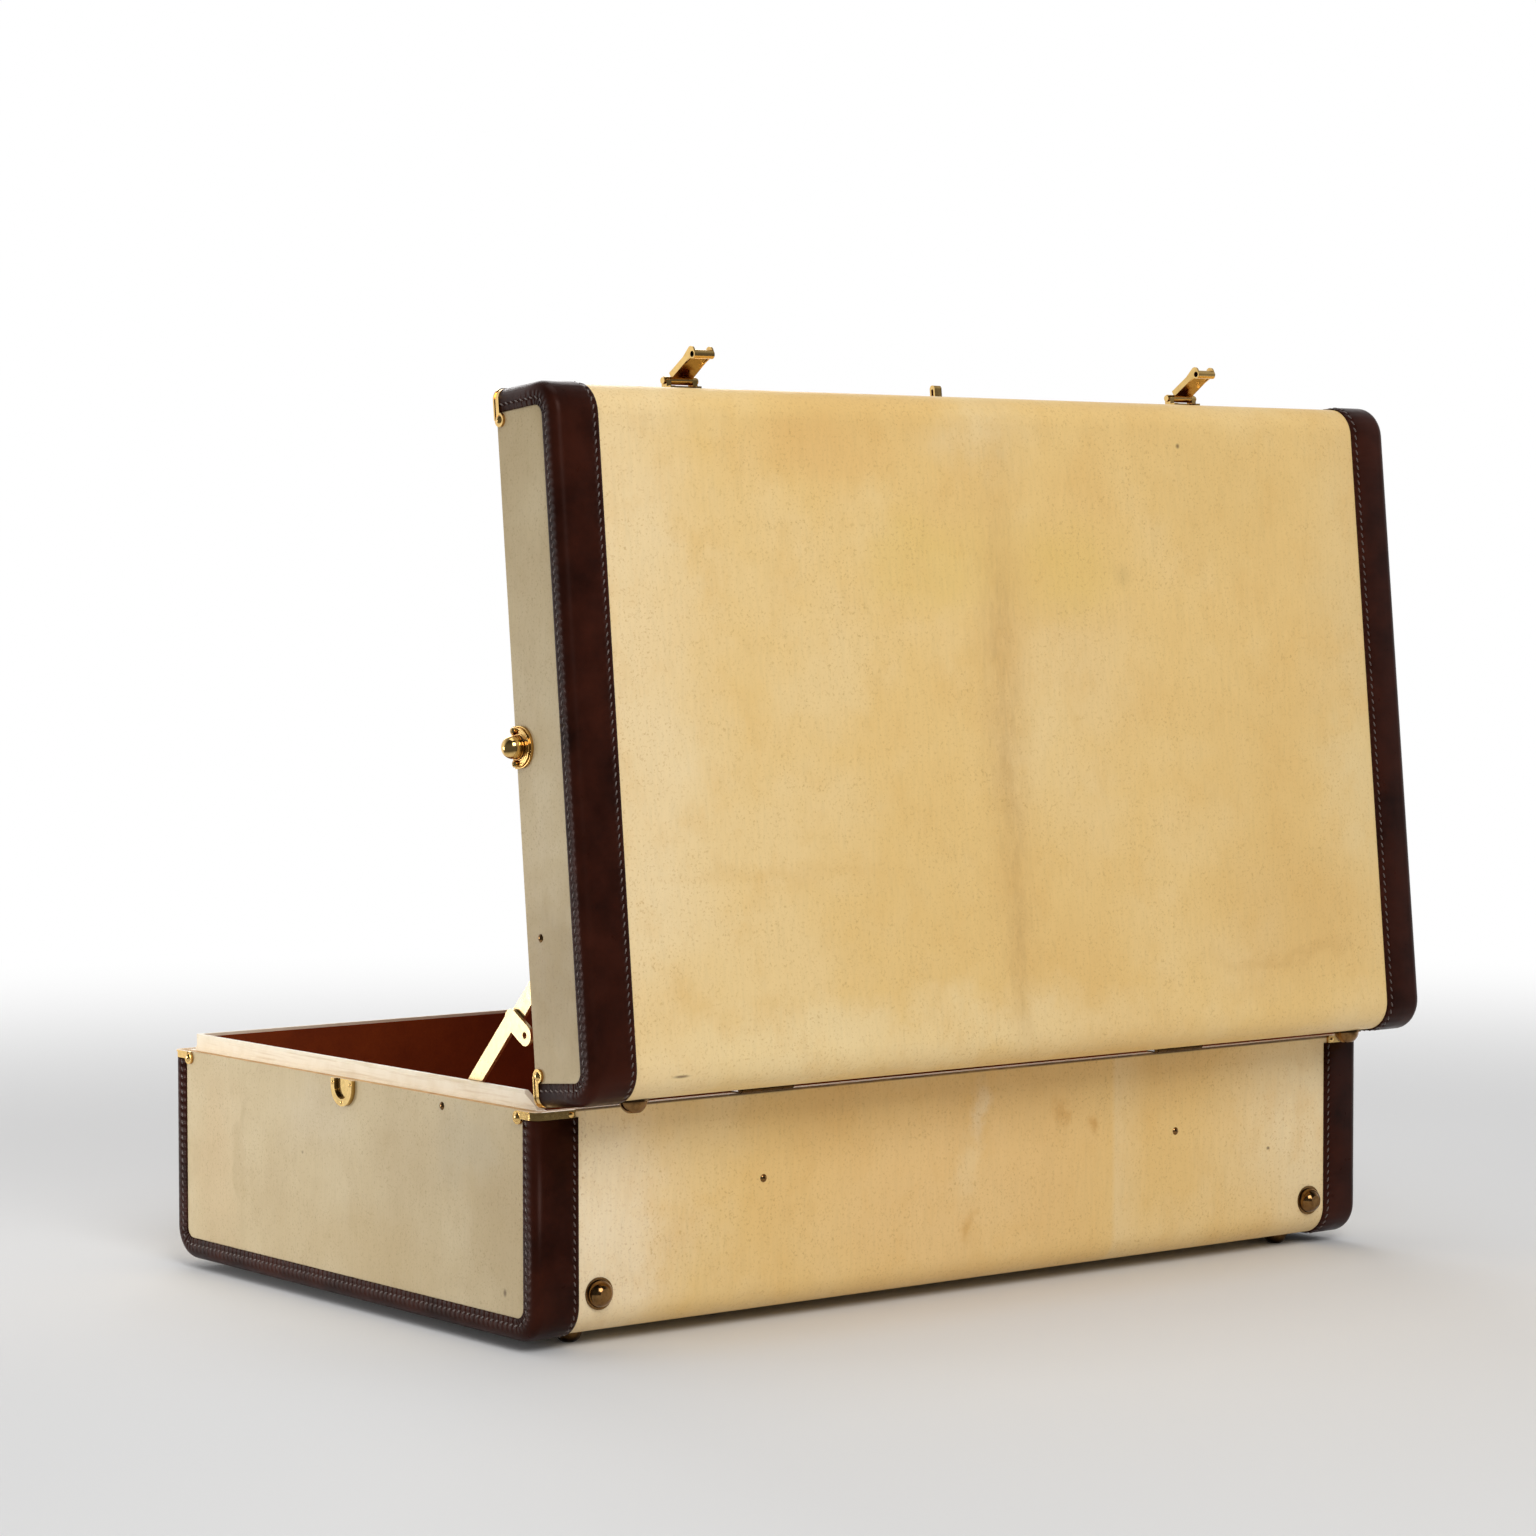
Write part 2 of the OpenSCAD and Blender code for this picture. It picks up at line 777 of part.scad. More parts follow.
module stay_lid_studs() {
    seat = inner_w - lid_lining_t;
    color(brass) placed() open_lid() both_ends()
        translate([0, stay_lid_y, stay_lid_z]) rotate([0, 90, 0]) {
            translate([0, 0, upper_arm_x - stay_gap]) cylinder(h = seat - upper_arm_x, r = stay_pin_r);
            translate([0, 0, upper_arm_x + stay_t + stay_gap])
                cylinder(h = seat - upper_arm_x - stay_t - stay_gap, r = stay_pin_r + 1);
            translate([0, 0, upper_arm_x - stay_gap - stay_head_t])
                cylinder(h = stay_head_t, r = stay_pin_r + 2);
        }
}

// Lower arm: a straight bar to the elbow, then the thumb tail turned back beside it
module stay_lower() {
    elbow = [stay_lower_len, 0];
    tail = [stay_lower_len + stay_tail * 0.24, -stay_tail * 0.97];
    color(stay_brass) placed() along_x(lower_arm_x, lower_arm_x + stay_t)
        translate([stay_base_y, stay_base_z]) rotate(stay_angle) difference() {
            union() {
                bar([0, 0], elbow, stay_w / 2);
                translate(elbow) circle(stay_end_r);
                bar(elbow, tail, stay_tail_r);
            }
            circle(stay_pin_r + run);
            translate(tail) circle(stay_tail_hole_r);
        }
}

module stay_upper() {
    color(stay_brass) placed() along_x(upper_arm_x, upper_arm_x + stay_t)
        translate(stay_lid_open) rotate(stay_angle + 180) difference() {
            union() {
                bar([0, 0], [stay_upper_len, 0], stay_w / 2);
                translate([stay_upper_len, 0]) circle(stay_end_r);
            }
            circle(stay_pin_r + run);
        }
}

// The elbow rivet's head on the upper arm
module elbow_rivet() {
    elbow_y = stay_base_y + stay_lower_len * cos(stay_angle);
    elbow_z = stay_base_z + stay_lower_len * sin(stay_angle);
    color(brass) placed() translate([upper_arm_x, elbow_y, elbow_z]) rotate([0, -90, 0])
        dome(stay_pin_r + 1, stay_head_t + 0.4);
}

module stay_lower_right() { stay_lower(); }
module stay_lower_left() { mirror([1, 0, 0]) stay_lower(); }
module stay_upper_right() { stay_upper(); }
module stay_upper_left() { mirror([1, 0, 0]) stay_upper(); }
module elbow_rivet_right() { elbow_rivet(); }
module elbow_rivet_left() { mirror([1, 0, 0]) elbow_rivet(); }

// End catches: a knob slides in the lid's plate and drops into the cup on the base

slot_half = catch_neck_r + 2 * small_gap;
shoe_half = catch_neck_r + 1.6;
shoe_t = 0.9;
shoe_floor = 0.8;
catch_step = 1.2;
catch_rim_w = 1.2;
catch_screw_r = 2.2;
catch_screw_h = 1.6;
catch_screw_x = catch_knob_r + 0.4 + catch_screw_r;
cup_screw_r = 1.5;
cup_inset = 0.3;

// D-shaped plate outline above a flat edge at y = 0
module catch_outline(r, low) {
    translate([0, catch_up]) circle(r);
    translate([-r, low]) square([2 * r, catch_up - low]);
}

module catch_plates() {
    flat = rim_gap + 0.2;
    color(brass) placed() open_lid() both_ends() on_end(0, base_h) difference() {
        union() {
            linear_extrude(catch_t - catch_step) intersection() {
                catch_outline(catch_r, flat);
                translate([-2 * catch_r, flat]) square([4 * catch_r, 4 * catch_r]);
            }
            linear_extrude(catch_t) intersection() {
                catch_outline(catch_r - catch_rim_w, flat);
                translate([-2 * catch_r, flat]) square([4 * catch_r, 4 * catch_r]);
            }
        }
        // Slot for the neck, then the wider groove for the shoe behind it
        translate([0, 0, -cut]) linear_extrude(catch_t + 2 * cut)
            bar([0, catch_up], [0, -catch_r], slot_half);
        translate([0, 0, -cut]) linear_extrude(shoe_floor + shoe_t + small_gap + cut)
            bar([0, catch_up], [0, -catch_r], shoe_half + small_gap);
    }
}

module catch_plate_screws() {
    color(brass) placed() open_lid() both_ends() for (side = [-1, 1])
        on_end(side * catch_screw_x, base_h + rim_gap + 1.5 * catch_screw_r)
            translate([0, 0, catch_t]) {
                cylinder(h = catch_screw_h, r = catch_screw_r);
                translate([0, 0, catch_screw_h - 0.01]) screw_head(catch_screw_r);
            }
}

module catch_knob() {
    tip_r = catch_knob_r * 0.98;
    color(brass) placed() open_lid() on_end(0, base_h + catch_up) {
        translate([0, 0, shoe_floor]) cylinder(h = shoe_t, r = shoe_half);
        translate([0, 0, shoe_floor]) cylinder(h = catch_t - shoe_floor + 1, r = catch_neck_r);
        translate([0, 0, catch_t + small_gap]) rotate_extrude() {
            square([catch_knob_r, 1]);
            square([catch_knob_r - 0.7, 1.8]);
            intersection() {
                union() {
                    translate([0, 1.8]) square([tip_r, catch_knob_len - tip_r - 1.8]);
                    translate([0, catch_knob_len - tip_r]) circle(tip_r);
                }
                square([catch_knob_r, catch_knob_len]);
            }
        }
    }
}

module catch_knob_right() { catch_knob(); }
module catch_knob_left() { mirror([1, 0, 0]) catch_knob(); }

// U-shaped cup whose recess is open at the rim
module catch_cups() {
    seat_y = catch_up - catch_travel;
    recess_r = catch_knob_r + catch_gap;
    cup_r = catch_r - cup_inset;
    color(brass) placed() both_ends() on_end(0, base_h) difference() {
        linear_extrude(catch_t) {
            translate([0, cup_r - cup_depth]) circle(cup_r);
            translate([-cup_r, cup_r - cup_depth]) square([2 * cup_r, cup_depth - cup_r]);
        }
        translate([0, 0, shoe_floor - small_gap]) linear_extrude(catch_t)
            bar([0, seat_y], [0, catch_r], recess_r);
        translate([-2 * catch_r, 0, -cut]) cube([4 * catch_r, 4 * catch_r, catch_t + 2 * cut]);
    }
}

module cup_screws() {
    lip = catch_r - cup_inset - catch_knob_r - catch_gap;
    color(brass) placed() both_ends() {
        for (side = [-1, 1])
            on_end(side * (catch_knob_r + catch_gap + lip / 2), base_h - 3)
                translate([0, 0, catch_t]) screw_head(cup_screw_r);
        on_end(0, base_h - cup_depth + 1.6 * cup_screw_r)
            translate([0, 0, catch_t]) screw_head(cup_screw_r);
    }
}

// Front latches: a hasp hinged on the lid closes over a body with a sliding button

latch_pin_r = 1.3;
barrel_r = 2.6;
ear_w = 3.6;
web_t = 2.4;
hasp_t = 1.4;
hasp_face = 0.4;
flange_t = 1.2;
cheek_r = 3.4;
cheek_z = -2;
roll_t = 0.9;
roll_z = hasp_roll_r - 2.6;
cheek_run = 9;
tooth_at = 19;
tooth_t = 2.4;
tooth_w = 6;
tooth_depth = 4.6;
plate_t = 1.2;
plate_rivet_r = 2.2;
body_low_w = 11.2;
body_high_w = 9.6;
body_gap = 0.4;
slot_side = 0.6;
slot_play = 2;

module latch_pair() {
    for (side = [-1, 1]) on_front(side * latch_x, base_h) children();
}

module latch_plates() {
    ear_x = hasp_w / 2 + small_gap + ear_w / 2;
    low = rim_gap + small_gap;
    rivet_x = latch_plate_w / 2 - plate_rivet_r - 1.5;
    color(brass) placed() open_lid() latch_pair() {
        translate([0, low + latch_plate_h / 2]) linear_extrude(plate_t)
            rounded_plate(latch_plate_w, latch_plate_h, 3);
        translate([-hasp_w / 2, latch_axis_up - web_t / 2, plate_t - 0.01])
            cube([hasp_w, web_t, latch_axis_out - barrel_r - 0.6 - plate_t]);
        for (side = [-1, 1]) {
            translate([side * hasp_w / 2 - small_gap, latch_axis_up - web_t / 2, plate_t - 0.01])
                cube([2 * small_gap, web_t, latch_axis_out / 2]);
            difference() {
                union() {
                    translate([side * ear_x, latch_axis_up, latch_axis_out]) x_rod(ear_w, barrel_r);
                    translate([side * ear_x - ear_w / 2, latch_axis_up - barrel_r, plate_t - 0.01])
                        cube([ear_w, 2 * barrel_r, latch_axis_out - plate_t]);
                    translate([side * ear_x - ear_w / 2, latch_axis_up, plate_t - 0.01])
                        cube([ear_w, barrel_r + 4, latch_axis_out / 2]);
                }
                translate([side * ear_x, latch_axis_up, latch_axis_out])
                    x_rod(ear_w + 2 * cut, latch_pin_r + run);
            }
            translate([side * rivet_x, low + latch_plate_h * 0.56, plate_t])
                dome(plate_rivet_r, plate_rivet_r * 0.55);
        }
    }
}

module hasp_pins() {
    reach = hasp_w + 2 * small_gap + 2 * ear_w;
    color(brass) placed() open_lid() latch_pair()
        translate([0, latch_axis_up, latch_axis_out]) {
            x_rod(reach + 2 * small_gap, latch_pin_r);
            for (side = [-1, 1]) translate([side * (reach / 2 + small_gap + 0.5), 0, 0])
                x_rod(1, latch_pin_r + 0.8);
        }
}

// Outline of the hasp from its axis at y = 0 down to the middle of its roll, narrowed by an
// inset and run past both ends by a margin
module hasp_outline(inset, past) {
    top_w = hasp_w / 2 - inset;
    tip_w = hasp_tip_w / 2 - inset;
    tip_y = hasp_roll_r - hasp_len - past;
    polygon([
        [-top_w, -barrel_r - 0.4 + past], [top_w, -barrel_r - 0.4 + past],
        [tip_w, tip_y], [-tip_w, tip_y]
    ]);
}

// Closed, the hasp hangs from its axis over the latch body: a plate with two flanges, a rolled
// lip open at its ends, a round cheek at each end of the roll and a tooth behind
module hasp_closed() {
    under = hasp_face - hasp_t;
    roll_y = hasp_roll_r - hasp_len;
    difference() {
        union() {
            x_rod(hasp_w, barrel_r);
            translate([-hasp_w / 2, -barrel_r - 0.5, under]) cube([hasp_w, barrel_r + 0.5, hasp_t]);
            translate([0, 0, under]) linear_extrude(hasp_t) hasp_outline(0, 0);
            difference() {
                translate([0, 0, hasp_face - hasp_flange]) linear_extrude(hasp_flange)
                    hasp_outline(0, 0);
                translate([0, 0, hasp_face - hasp_flange - cut])
                    linear_extrude(hasp_flange + 2 * cut) hasp_outline(flange_t, cut);
            }
            translate([0, roll_y, roll_z]) x_rod(hasp_tip_w, hasp_roll_r);
            for (side = [-1, 1]) translate([side * (hasp_tip_w - flange_t) / 2, cheek_r - hasp_len - 0.2, 0])
                hull() {
                    translate([0, 0, cheek_z]) x_rod(flange_t, cheek_r);
                    translate([0, cheek_run, hasp_face - hasp_flange / 2]) x_rod(flange_t, hasp_flange / 2);
                }
        }
        x_rod(hasp_w + 2 * cut, latch_pin_r + run);
        translate([0, roll_y, roll_z]) x_rod(hasp_tip_w + 2 * cut, hasp_roll_r - roll_t);
    }
    translate([-tooth_w / 2, -tooth_at - tooth_t / 2, under - tooth_depth])
        cube([tooth_w, tooth_t, tooth_depth + 0.01]);
}

module hasp(side) {
    color(brass) placed() open_lid() on_front(side * latch_x, base_h)
        translate([0, latch_axis_up, latch_axis_out]) rotate([-hasp_open, 0, 0]) hasp_closed();
}

module hasp_right() { hasp(1); }
module hasp_left() { hasp(-1); }

// The body stops short of the closed hasp's roll; below it sits the button
body_top = -8;
body_len = hasp_len - 2 * hasp_roll_r - latch_axis_up + body_top - 0.8;
button_y = 2.8 - latch_body_h;
button_w = 9;
button_h = 5.6;
stem_w = 4;
stem_h = 3;

module latch_bodies() {
    tooth_y = latch_axis_up - tooth_at;
    body_face = latch_axis_out + hasp_face - hasp_t - body_gap;
    color(brass) placed() latch_pair() difference() {
        union() {
            translate([0, -2 - latch_body_h / 2]) linear_extrude(plate_t)
                rounded_plate(latch_body_w, latch_body_h, 3);
            translate([0, body_top, 0]) rotate([90, 0, 0]) linear_extrude(body_len) polygon([
                [-body_low_w / 2, plate_t - 0.01], [body_low_w / 2, plate_t - 0.01],
                [body_high_w / 2, body_face], [-body_high_w / 2, body_face]
            ]);
            for (side = [-1, 1]) for (y = [-6, 10 - latch_body_h])
                translate([side * (latch_body_w / 2 - 3.5), y, plate_t]) dome(1.8, 0.9);
        }
        translate([-tooth_w / 2 - slot_side, tooth_y - tooth_t / 2 - slot_play,
            body_face - tooth_depth - 0.4])
            cube([tooth_w + 2 * slot_side, tooth_t + 2 * slot_play - 0.4, tooth_depth + cut]);
        translate([-stem_w / 2 - small_gap, button_y - stem_h / 2 - small_gap, -cut])
            cube([stem_w + button_travel + 2 * small_gap, stem_h + 2 * small_gap, plate_t + 2 * cut]);
    }
}

module latch_button(side) {
    color(brass) placed() on_front(side * latch_x, base_h) translate([0, button_y, 0]) {
        translate([-stem_w / 2, -stem_h / 2, small_gap]) cube([stem_w, stem_h, plate_t + 1]);
        translate([0, 0, plate_t + small_gap]) linear_extrude(1.6)
            rounded_plate(button_w, button_h, 1.2);
        for (rib = [-1, 0, 1]) translate([rib * 2.4 - 0.5, -button_h / 2 + 0.8, plate_t + 1.7])
            cube([1, button_h - 1.6, 1.2]);
    }
}

module latch_button_right() { latch_button(1); }
module latch_button_left() { latch_button(-1); }

// Centre lock: a slotted hasp on the base swings up over a staple on the lid

centre_axis_down = 12;
centre_axis_out = 4.2;
centre_barrel_r = 2.6;
centre_pin_r = 1.1;
centre_hasp_t = 1.4;
staple_at = 20;
staple_t = 5;
staple_plate_h = 15;
centre_plate_h = 18;
centre_knuckle_w = 10;

module lock_staple() {
    staple_y = staple_at - centre_axis_down;
    low = rim_gap + small_gap;
    color(brass) placed() open_lid() on_front(lock_x, base_h) {
        translate([0, low + staple_plate_h / 2]) linear_extrude(plate_t)
            rounded_plate(staple_plate_w, staple_plate_h, 2.5);
        translate([-staple_w / 2, staple_y, 0]) rotate([90, 0, 90]) linear_extrude(staple_w)
            difference() {
                translate([-staple_t / 2, plate_t - 0.01])
                    square([staple_t, staple_h - staple_t / 2 - plate_t]);
                bar([0, staple_h - staple_t / 2 - 1], [0, staple_h - staple_t / 2 - 4], 1);
            }
        translate([0, staple_y, staple_h - staple_t / 2 - 0.01]) intersection() {
            x_rod(staple_w, staple_t / 2);
            translate([-staple_w, -staple_t, 0]) cube([2 * staple_w, 2 * staple_t, staple_t]);
        }
        for (side = [-1, 1]) translate([side * (staple_plate_w / 2 - 4.5), staple_y, plate_t])
            dome(1.9, 1);
    }
}

module centre_hasp_plate() {
    knuckle_w = (centre_hasp_w - centre_knuckle_w) / 2 - small_gap;
    color(brass) placed() on_front(lock_x, base_h) {
        difference() {
            union() {
                translate([0, -centre_axis_down - 3]) linear_extrude(plate_t)
                    rounded_plate(centre_hasp_w + 12, centre_plate_h, 2.5);
                for (side = [-1, 1]) translate([
                    side * ((centre_knuckle_w + knuckle_w) / 2 + small_gap), -centre_axis_down, 0
                ]) {
                    translate([0, 0, centre_axis_out]) x_rod(knuckle_w, centre_barrel_r);
                    translate([-knuckle_w / 2, -centre_barrel_r + 0.8, plate_t - 0.01])
                        cube([knuckle_w, 2 * centre_barrel_r - 1.6, centre_axis_out - plate_t]);
                }
            }
            translate([0, -centre_axis_down, centre_axis_out])
                x_rod(centre_hasp_w + cut, centre_pin_r + run);
        }
        for (side = [-1, 1])
            translate([side * (centre_hasp_w / 2 + 3), -centre_axis_down - 3, plate_t]) dome(1.7, 0.9);
    }
}

module centre_hasp_pin() {
    color(brass) placed() on_front(lock_x, base_h) translate([0, -centre_axis_down, centre_axis_out])
        x_rod(centre_hasp_w + small_gap, centre_pin_r);
}

// Hanging, the hasp's plate is level with its axis so that it also lies flat when swung up
module centre_hasp() {
    color(brass) placed() on_front(lock_x, base_h) translate([0, -centre_axis_down, centre_axis_out]) {
        difference() {
            union() {
                x_rod(centre_knuckle_w, centre_barrel_r);
                translate([-centre_knuckle_w / 2, -centre_barrel_r - 1, -centre_hasp_t / 2])
                    cube([centre_knuckle_w, centre_barrel_r + 1, centre_hasp_t]);
            }
            x_rod(centre_knuckle_w + 2 * cut, centre_pin_r + run);
        }
        translate([0, 0, -centre_hasp_t / 2]) linear_extrude(centre_hasp_t) difference() {
            translate([0, -(centre_hasp_len + centre_barrel_r + 0.4) / 2])
                rounded_plate(centre_hasp_w, centre_hasp_len - centre_barrel_r - 0.4, 3);
            translate([0, -staple_at]) rounded_plate(staple_w + 2, staple_t + 6, 1.5);
        }
    }
}

// Handle: a bowed leather grip between brass ends that turn on pins in two brackets

handle_pin_r = 2;
eye_r = 4;
eye_w = 8;
handle_ear_w = 3.2;
handle_ear_gap = 0.3;
bracket_t = 1.5;
bracket_nail_r = 1.9;
grip_inset = 12;
grip_end_x = handle_span / 2 - grip_inset;
grip_end_y = -14;
grip_r = (grip_end_x ^ 2 + grip_sag ^ 2) / (2 * grip_sag);
grip_half_angle = asin(grip_end_x / grip_r);

module at_handle() {
    on_front(0, handle_z) translate([0, 0, handle_out]) children();
}

module handle_brackets() {
    ear_x = eye_w / 2 + handle_ear_gap + handle_ear_w / 2;
    color(brass) placed() both_ends() on_front(handle_span / 2, handle_z) {
        difference() {
            union() {
                linear_extrude(bracket_t) rounded_plate(bracket_w, bracket_w, 4);
                for (side = [-1, 1]) translate([side * ear_x, 0, 0]) {
                    translate([0, 0, handle_out]) x_rod(handle_ear_w, eye_r + 0.5);
                    translate([-handle_ear_w / 2, -eye_r - 0.5, 1])
                        cube([handle_ear_w, 2 * eye_r + 1, handle_out - 1]);
                }
            }
            translate([0, 0, handle_out]) x_rod(bracket_w, handle_pin_r + run);
        }
        for (x = [-1, 1], y = [-1, 1])
            translate([x * (bracket_w / 2 - 3.2), y * (bracket_w / 2 - 3.2), bracket_t])
                dome(bracket_nail_r, 1);
    }
}

module handle_pins() {
    color(brass) placed() both_ends() at_handle() translate([handle_span / 2, 0, 0]) {
        x_rod(eye_w + 2 * handle_ear_gap + 2 * handle_ear_w + 2 * small_gap, handle_pin_r);
        for (side = [-1, 1])
            translate([side * (eye_w / 2 + handle_ear_gap + handle_ear_w + small_gap + 0.4), 0, 0])
                x_rod(0.8, handle_pin_r + 0.9);
    }
}

// The grip is bent about a centre above it, so that it bows away from the pivots
module grip_section(grow) {
    r = grip_t / 2 + grow;
    straight = grip_w - grip_t;
    translate([grip_r - straight / 2, grip_forward]) circle(r);
    translate([grip_r + straight / 2, grip_forward]) circle(r);
    translate([grip_r - straight / 2, grip_forward - r]) square([straight, 2 * r]);
}

module handle_grip() {
    color(leather) placed() at_handle() translate([0, grip_end_y - grip_sag + grip_r, 0])
        rotate(-90 - grip_half_angle) rotate_extrude(angle = 2 * grip_half_angle) grip_section(0);
}

// Brass socket on each end of the grip, with an arm up to the eye on the pin
module handle_ends() {
    socket = asin(7 / grip_r);
    eye_x = handle_span / 2;
    color(brass) placed() both_ends() at_handle() {
        translate([0, grip_end_y - grip_sag + grip_r, 0])
            rotate(-90 + grip_half_angle) rotate_extrude(angle = socket) grip_section(socket_grow);
        difference() {
            union() {
                translate([eye_x, 0, 0]) x_rod(eye_w, eye_r);
                translate([0, 0, -2.5]) linear_extrude(5) polygon([
                    [eye_x - eye_w / 2, 0], [eye_x + eye_w / 2, 0],
                    [eye_x + eye_w / 2, -7], [grip_end_x + 9.5, grip_end_y - 3],
                    [grip_end_x + 4, grip_end_y - 2], [grip_end_x + 3, grip_end_y + 6],
                    [eye_x - eye_w / 2, -eye_r - 1.4]
                ]);
            }
            translate([eye_x, 0, 0]) x_rod(eye_w + 2 * cut, handle_pin_r + run);
        }
    }
}

base_board();
base_end_boards();
base_covering();
base_end_coverings();
base_binding_right();
base_binding_left();
base_lining();
rim_frame();
base_corner_clips();
bottom_feet();
base_rear_feet();
base_rivets();
hinge_base_leaves();
hinge_pins();
stay_base_studs();
catch_cups();
cup_screws();
latch_bodies();
latch_button_right();
latch_button_left();
centre_hasp_plate();
centre_hasp_pin();
centre_hasp();
handle_brackets();
handle_pins();
handle_ends();
handle_grip();
lid_board();
lid_end_boards();
lid_covering();
lid_end_coverings();
lid_binding_right();
lid_binding_left();
lid_lining();
lid_corner_clips();
lid_rear_feet();
lid_rivets();
hinge_lid_leaves();
stay_lid_studs();
catch_plates();
catch_plate_screws();
catch_knob_right();
catch_knob_left();
latch_plates();
hasp_pins();
hasp_right();
hasp_left();
lock_staple();
stay_lower_right();
stay_lower_left();
stay_upper_right();
stay_upper_left();
elbow_rivet_right();
elbow_rivet_left();
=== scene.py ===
import json
import math

import bmesh
import bpy
from mathutils import Matrix, Vector


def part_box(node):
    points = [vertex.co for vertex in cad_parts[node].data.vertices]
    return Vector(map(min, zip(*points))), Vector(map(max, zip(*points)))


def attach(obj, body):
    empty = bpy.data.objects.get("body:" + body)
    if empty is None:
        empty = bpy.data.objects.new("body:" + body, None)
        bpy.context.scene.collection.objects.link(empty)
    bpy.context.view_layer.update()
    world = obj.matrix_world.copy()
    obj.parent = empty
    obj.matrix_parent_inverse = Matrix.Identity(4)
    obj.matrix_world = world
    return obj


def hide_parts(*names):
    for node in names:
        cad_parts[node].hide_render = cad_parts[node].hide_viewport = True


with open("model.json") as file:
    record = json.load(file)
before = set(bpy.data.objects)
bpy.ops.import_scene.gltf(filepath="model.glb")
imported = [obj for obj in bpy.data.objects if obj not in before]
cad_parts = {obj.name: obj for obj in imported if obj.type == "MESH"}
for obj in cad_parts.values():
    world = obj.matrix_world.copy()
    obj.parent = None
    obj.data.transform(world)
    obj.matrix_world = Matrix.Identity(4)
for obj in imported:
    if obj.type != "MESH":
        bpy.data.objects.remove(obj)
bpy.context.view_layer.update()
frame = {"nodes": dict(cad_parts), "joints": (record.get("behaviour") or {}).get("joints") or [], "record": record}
nodes = frame["nodes"]
mm = 0.001  # sizes below are in millimetres, scaled to metres where a mesh is finished


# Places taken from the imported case

def boxInMm(node):
    low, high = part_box(node)
    return low / mm, high / mm


def jointNamed(name):
    return next(joint for joint in frame["joints"] if joint["name"] == name)


baseLow, baseHigh = boxInMm("base_covering")
bindingLow, bindingHigh = boxInMm("base_binding_right")

case = {
    "halfLength": baseHigh.x,
    "halfDepth": (baseHigh.y - baseLow.y) / 2,
    "middleY": (baseHigh.y + baseLow.y) / 2,
    "footHeight": baseLow.z,
    "baseHeight": baseHigh.z - baseLow.z,
    "lidHeight": 60.8,       # the lid's own tray, rim to broad face
    "rimGap": 1.2,           # between the rims when the lid is down
    "bend": 20.0,            # radius of the long bends
    "leather": bindingHigh.x - baseHigh.x,
    "bandStart": bindingLow.x,  # where the leather meets the parchment on the long faces
    "border": 13.0,          # width of the leather on the end faces
    "edge": 5.0,             # radius of the parchment's end edges
    "clip": 5.0,             # the leather stops under the corner clips
}

hinge = jointNamed("lid_hinge")
openAngle = math.radians(hinge["range_deg"][1])
hingeSpot = Vector(hinge["pos_m"]) / mm
openLid = (Matrix.Translation(hingeSpot) @ Matrix.Rotation(-openAngle, 4, "X")
           @ Matrix.Translation(-hingeSpot))
closedTop = case["footHeight"] + case["baseHeight"] + case["rimGap"] + case["lidHeight"]

trays = {
    "base": {
        "height": case["baseHeight"],
        "place": Matrix.Translation((0, case["middleY"], case["footHeight"])),
    },
    "lid": {
        "height": case["lidHeight"],
        "place": openLid @ Matrix.Translation((0, case["middleY"], closedTop))
        @ Matrix.Scale(-1, 4, (0, 0, 1)),
    },
}
print("case read from the frame")


# Camera at the photograph's angle

camera = {
    "spot": (1744.1, 2238.2 + case["middleY"], 459.6 + case["footHeight"]),
    "heading": 37.83,   # degrees from looking along -Y, turned towards -X
    "tilt": 2.627,      # degrees below the horizon
    "roll": 0.073,
    "lens": 96.28, "sensor": 36.0,
    "clip": (0.1, 60.0),  # metres
}


def addCamera():
    heading, tilt = math.radians(camera["heading"]), math.radians(camera["tilt"])
    forward = Vector((-math.sin(heading) * math.cos(tilt), -math.cos(heading) * math.cos(tilt),
                      -math.sin(tilt)))
    right = forward.cross(Vector((0, 0, 1))).normalized()
    turn = Matrix.Rotation(math.radians(camera["roll"]), 3, forward)
    right = turn @ right
    up = right.cross(forward)
    data = bpy.data.cameras.new("photoCamera")
    data.lens = camera["lens"]
    data.sensor_width = camera["sensor"]
    data.clip_start, data.clip_end = camera["clip"]
    thing = bpy.data.objects.new("photoCamera", data)
    bpy.context.scene.collection.objects.link(thing)
    thing.matrix_world = Matrix.Translation(Vector(camera["spot"]) * mm) @ Matrix(
        (right, up, -forward)).transposed().to_4x4()
    bpy.context.scene.camera = thing


addCamera()
print("camera placed")


# Materials

def linear(tone):
    # A hex code as a linear colour; a plain number is linear already and gives that grey
    if not isinstance(tone, str):
        return (tone, tone, tone, 1.0)
    channels = [int(tone[i:i + 2], 16) / 255 for i in (1, 3, 5)]
    return tuple(c / 12.92 if c <= 0.04045 else ((c + 0.055) / 1.055) ** 2.4
                 for c in channels) + (1.0,)


# A setting's key is an input, by name or number, or a property. An input is linked where its
# value is another node's output, and a ramp's stops are pairs of position and tone. The Mix
# node's colours go by number, as their names repeat: 0 factor, 6 and 7 colours, 2 result.

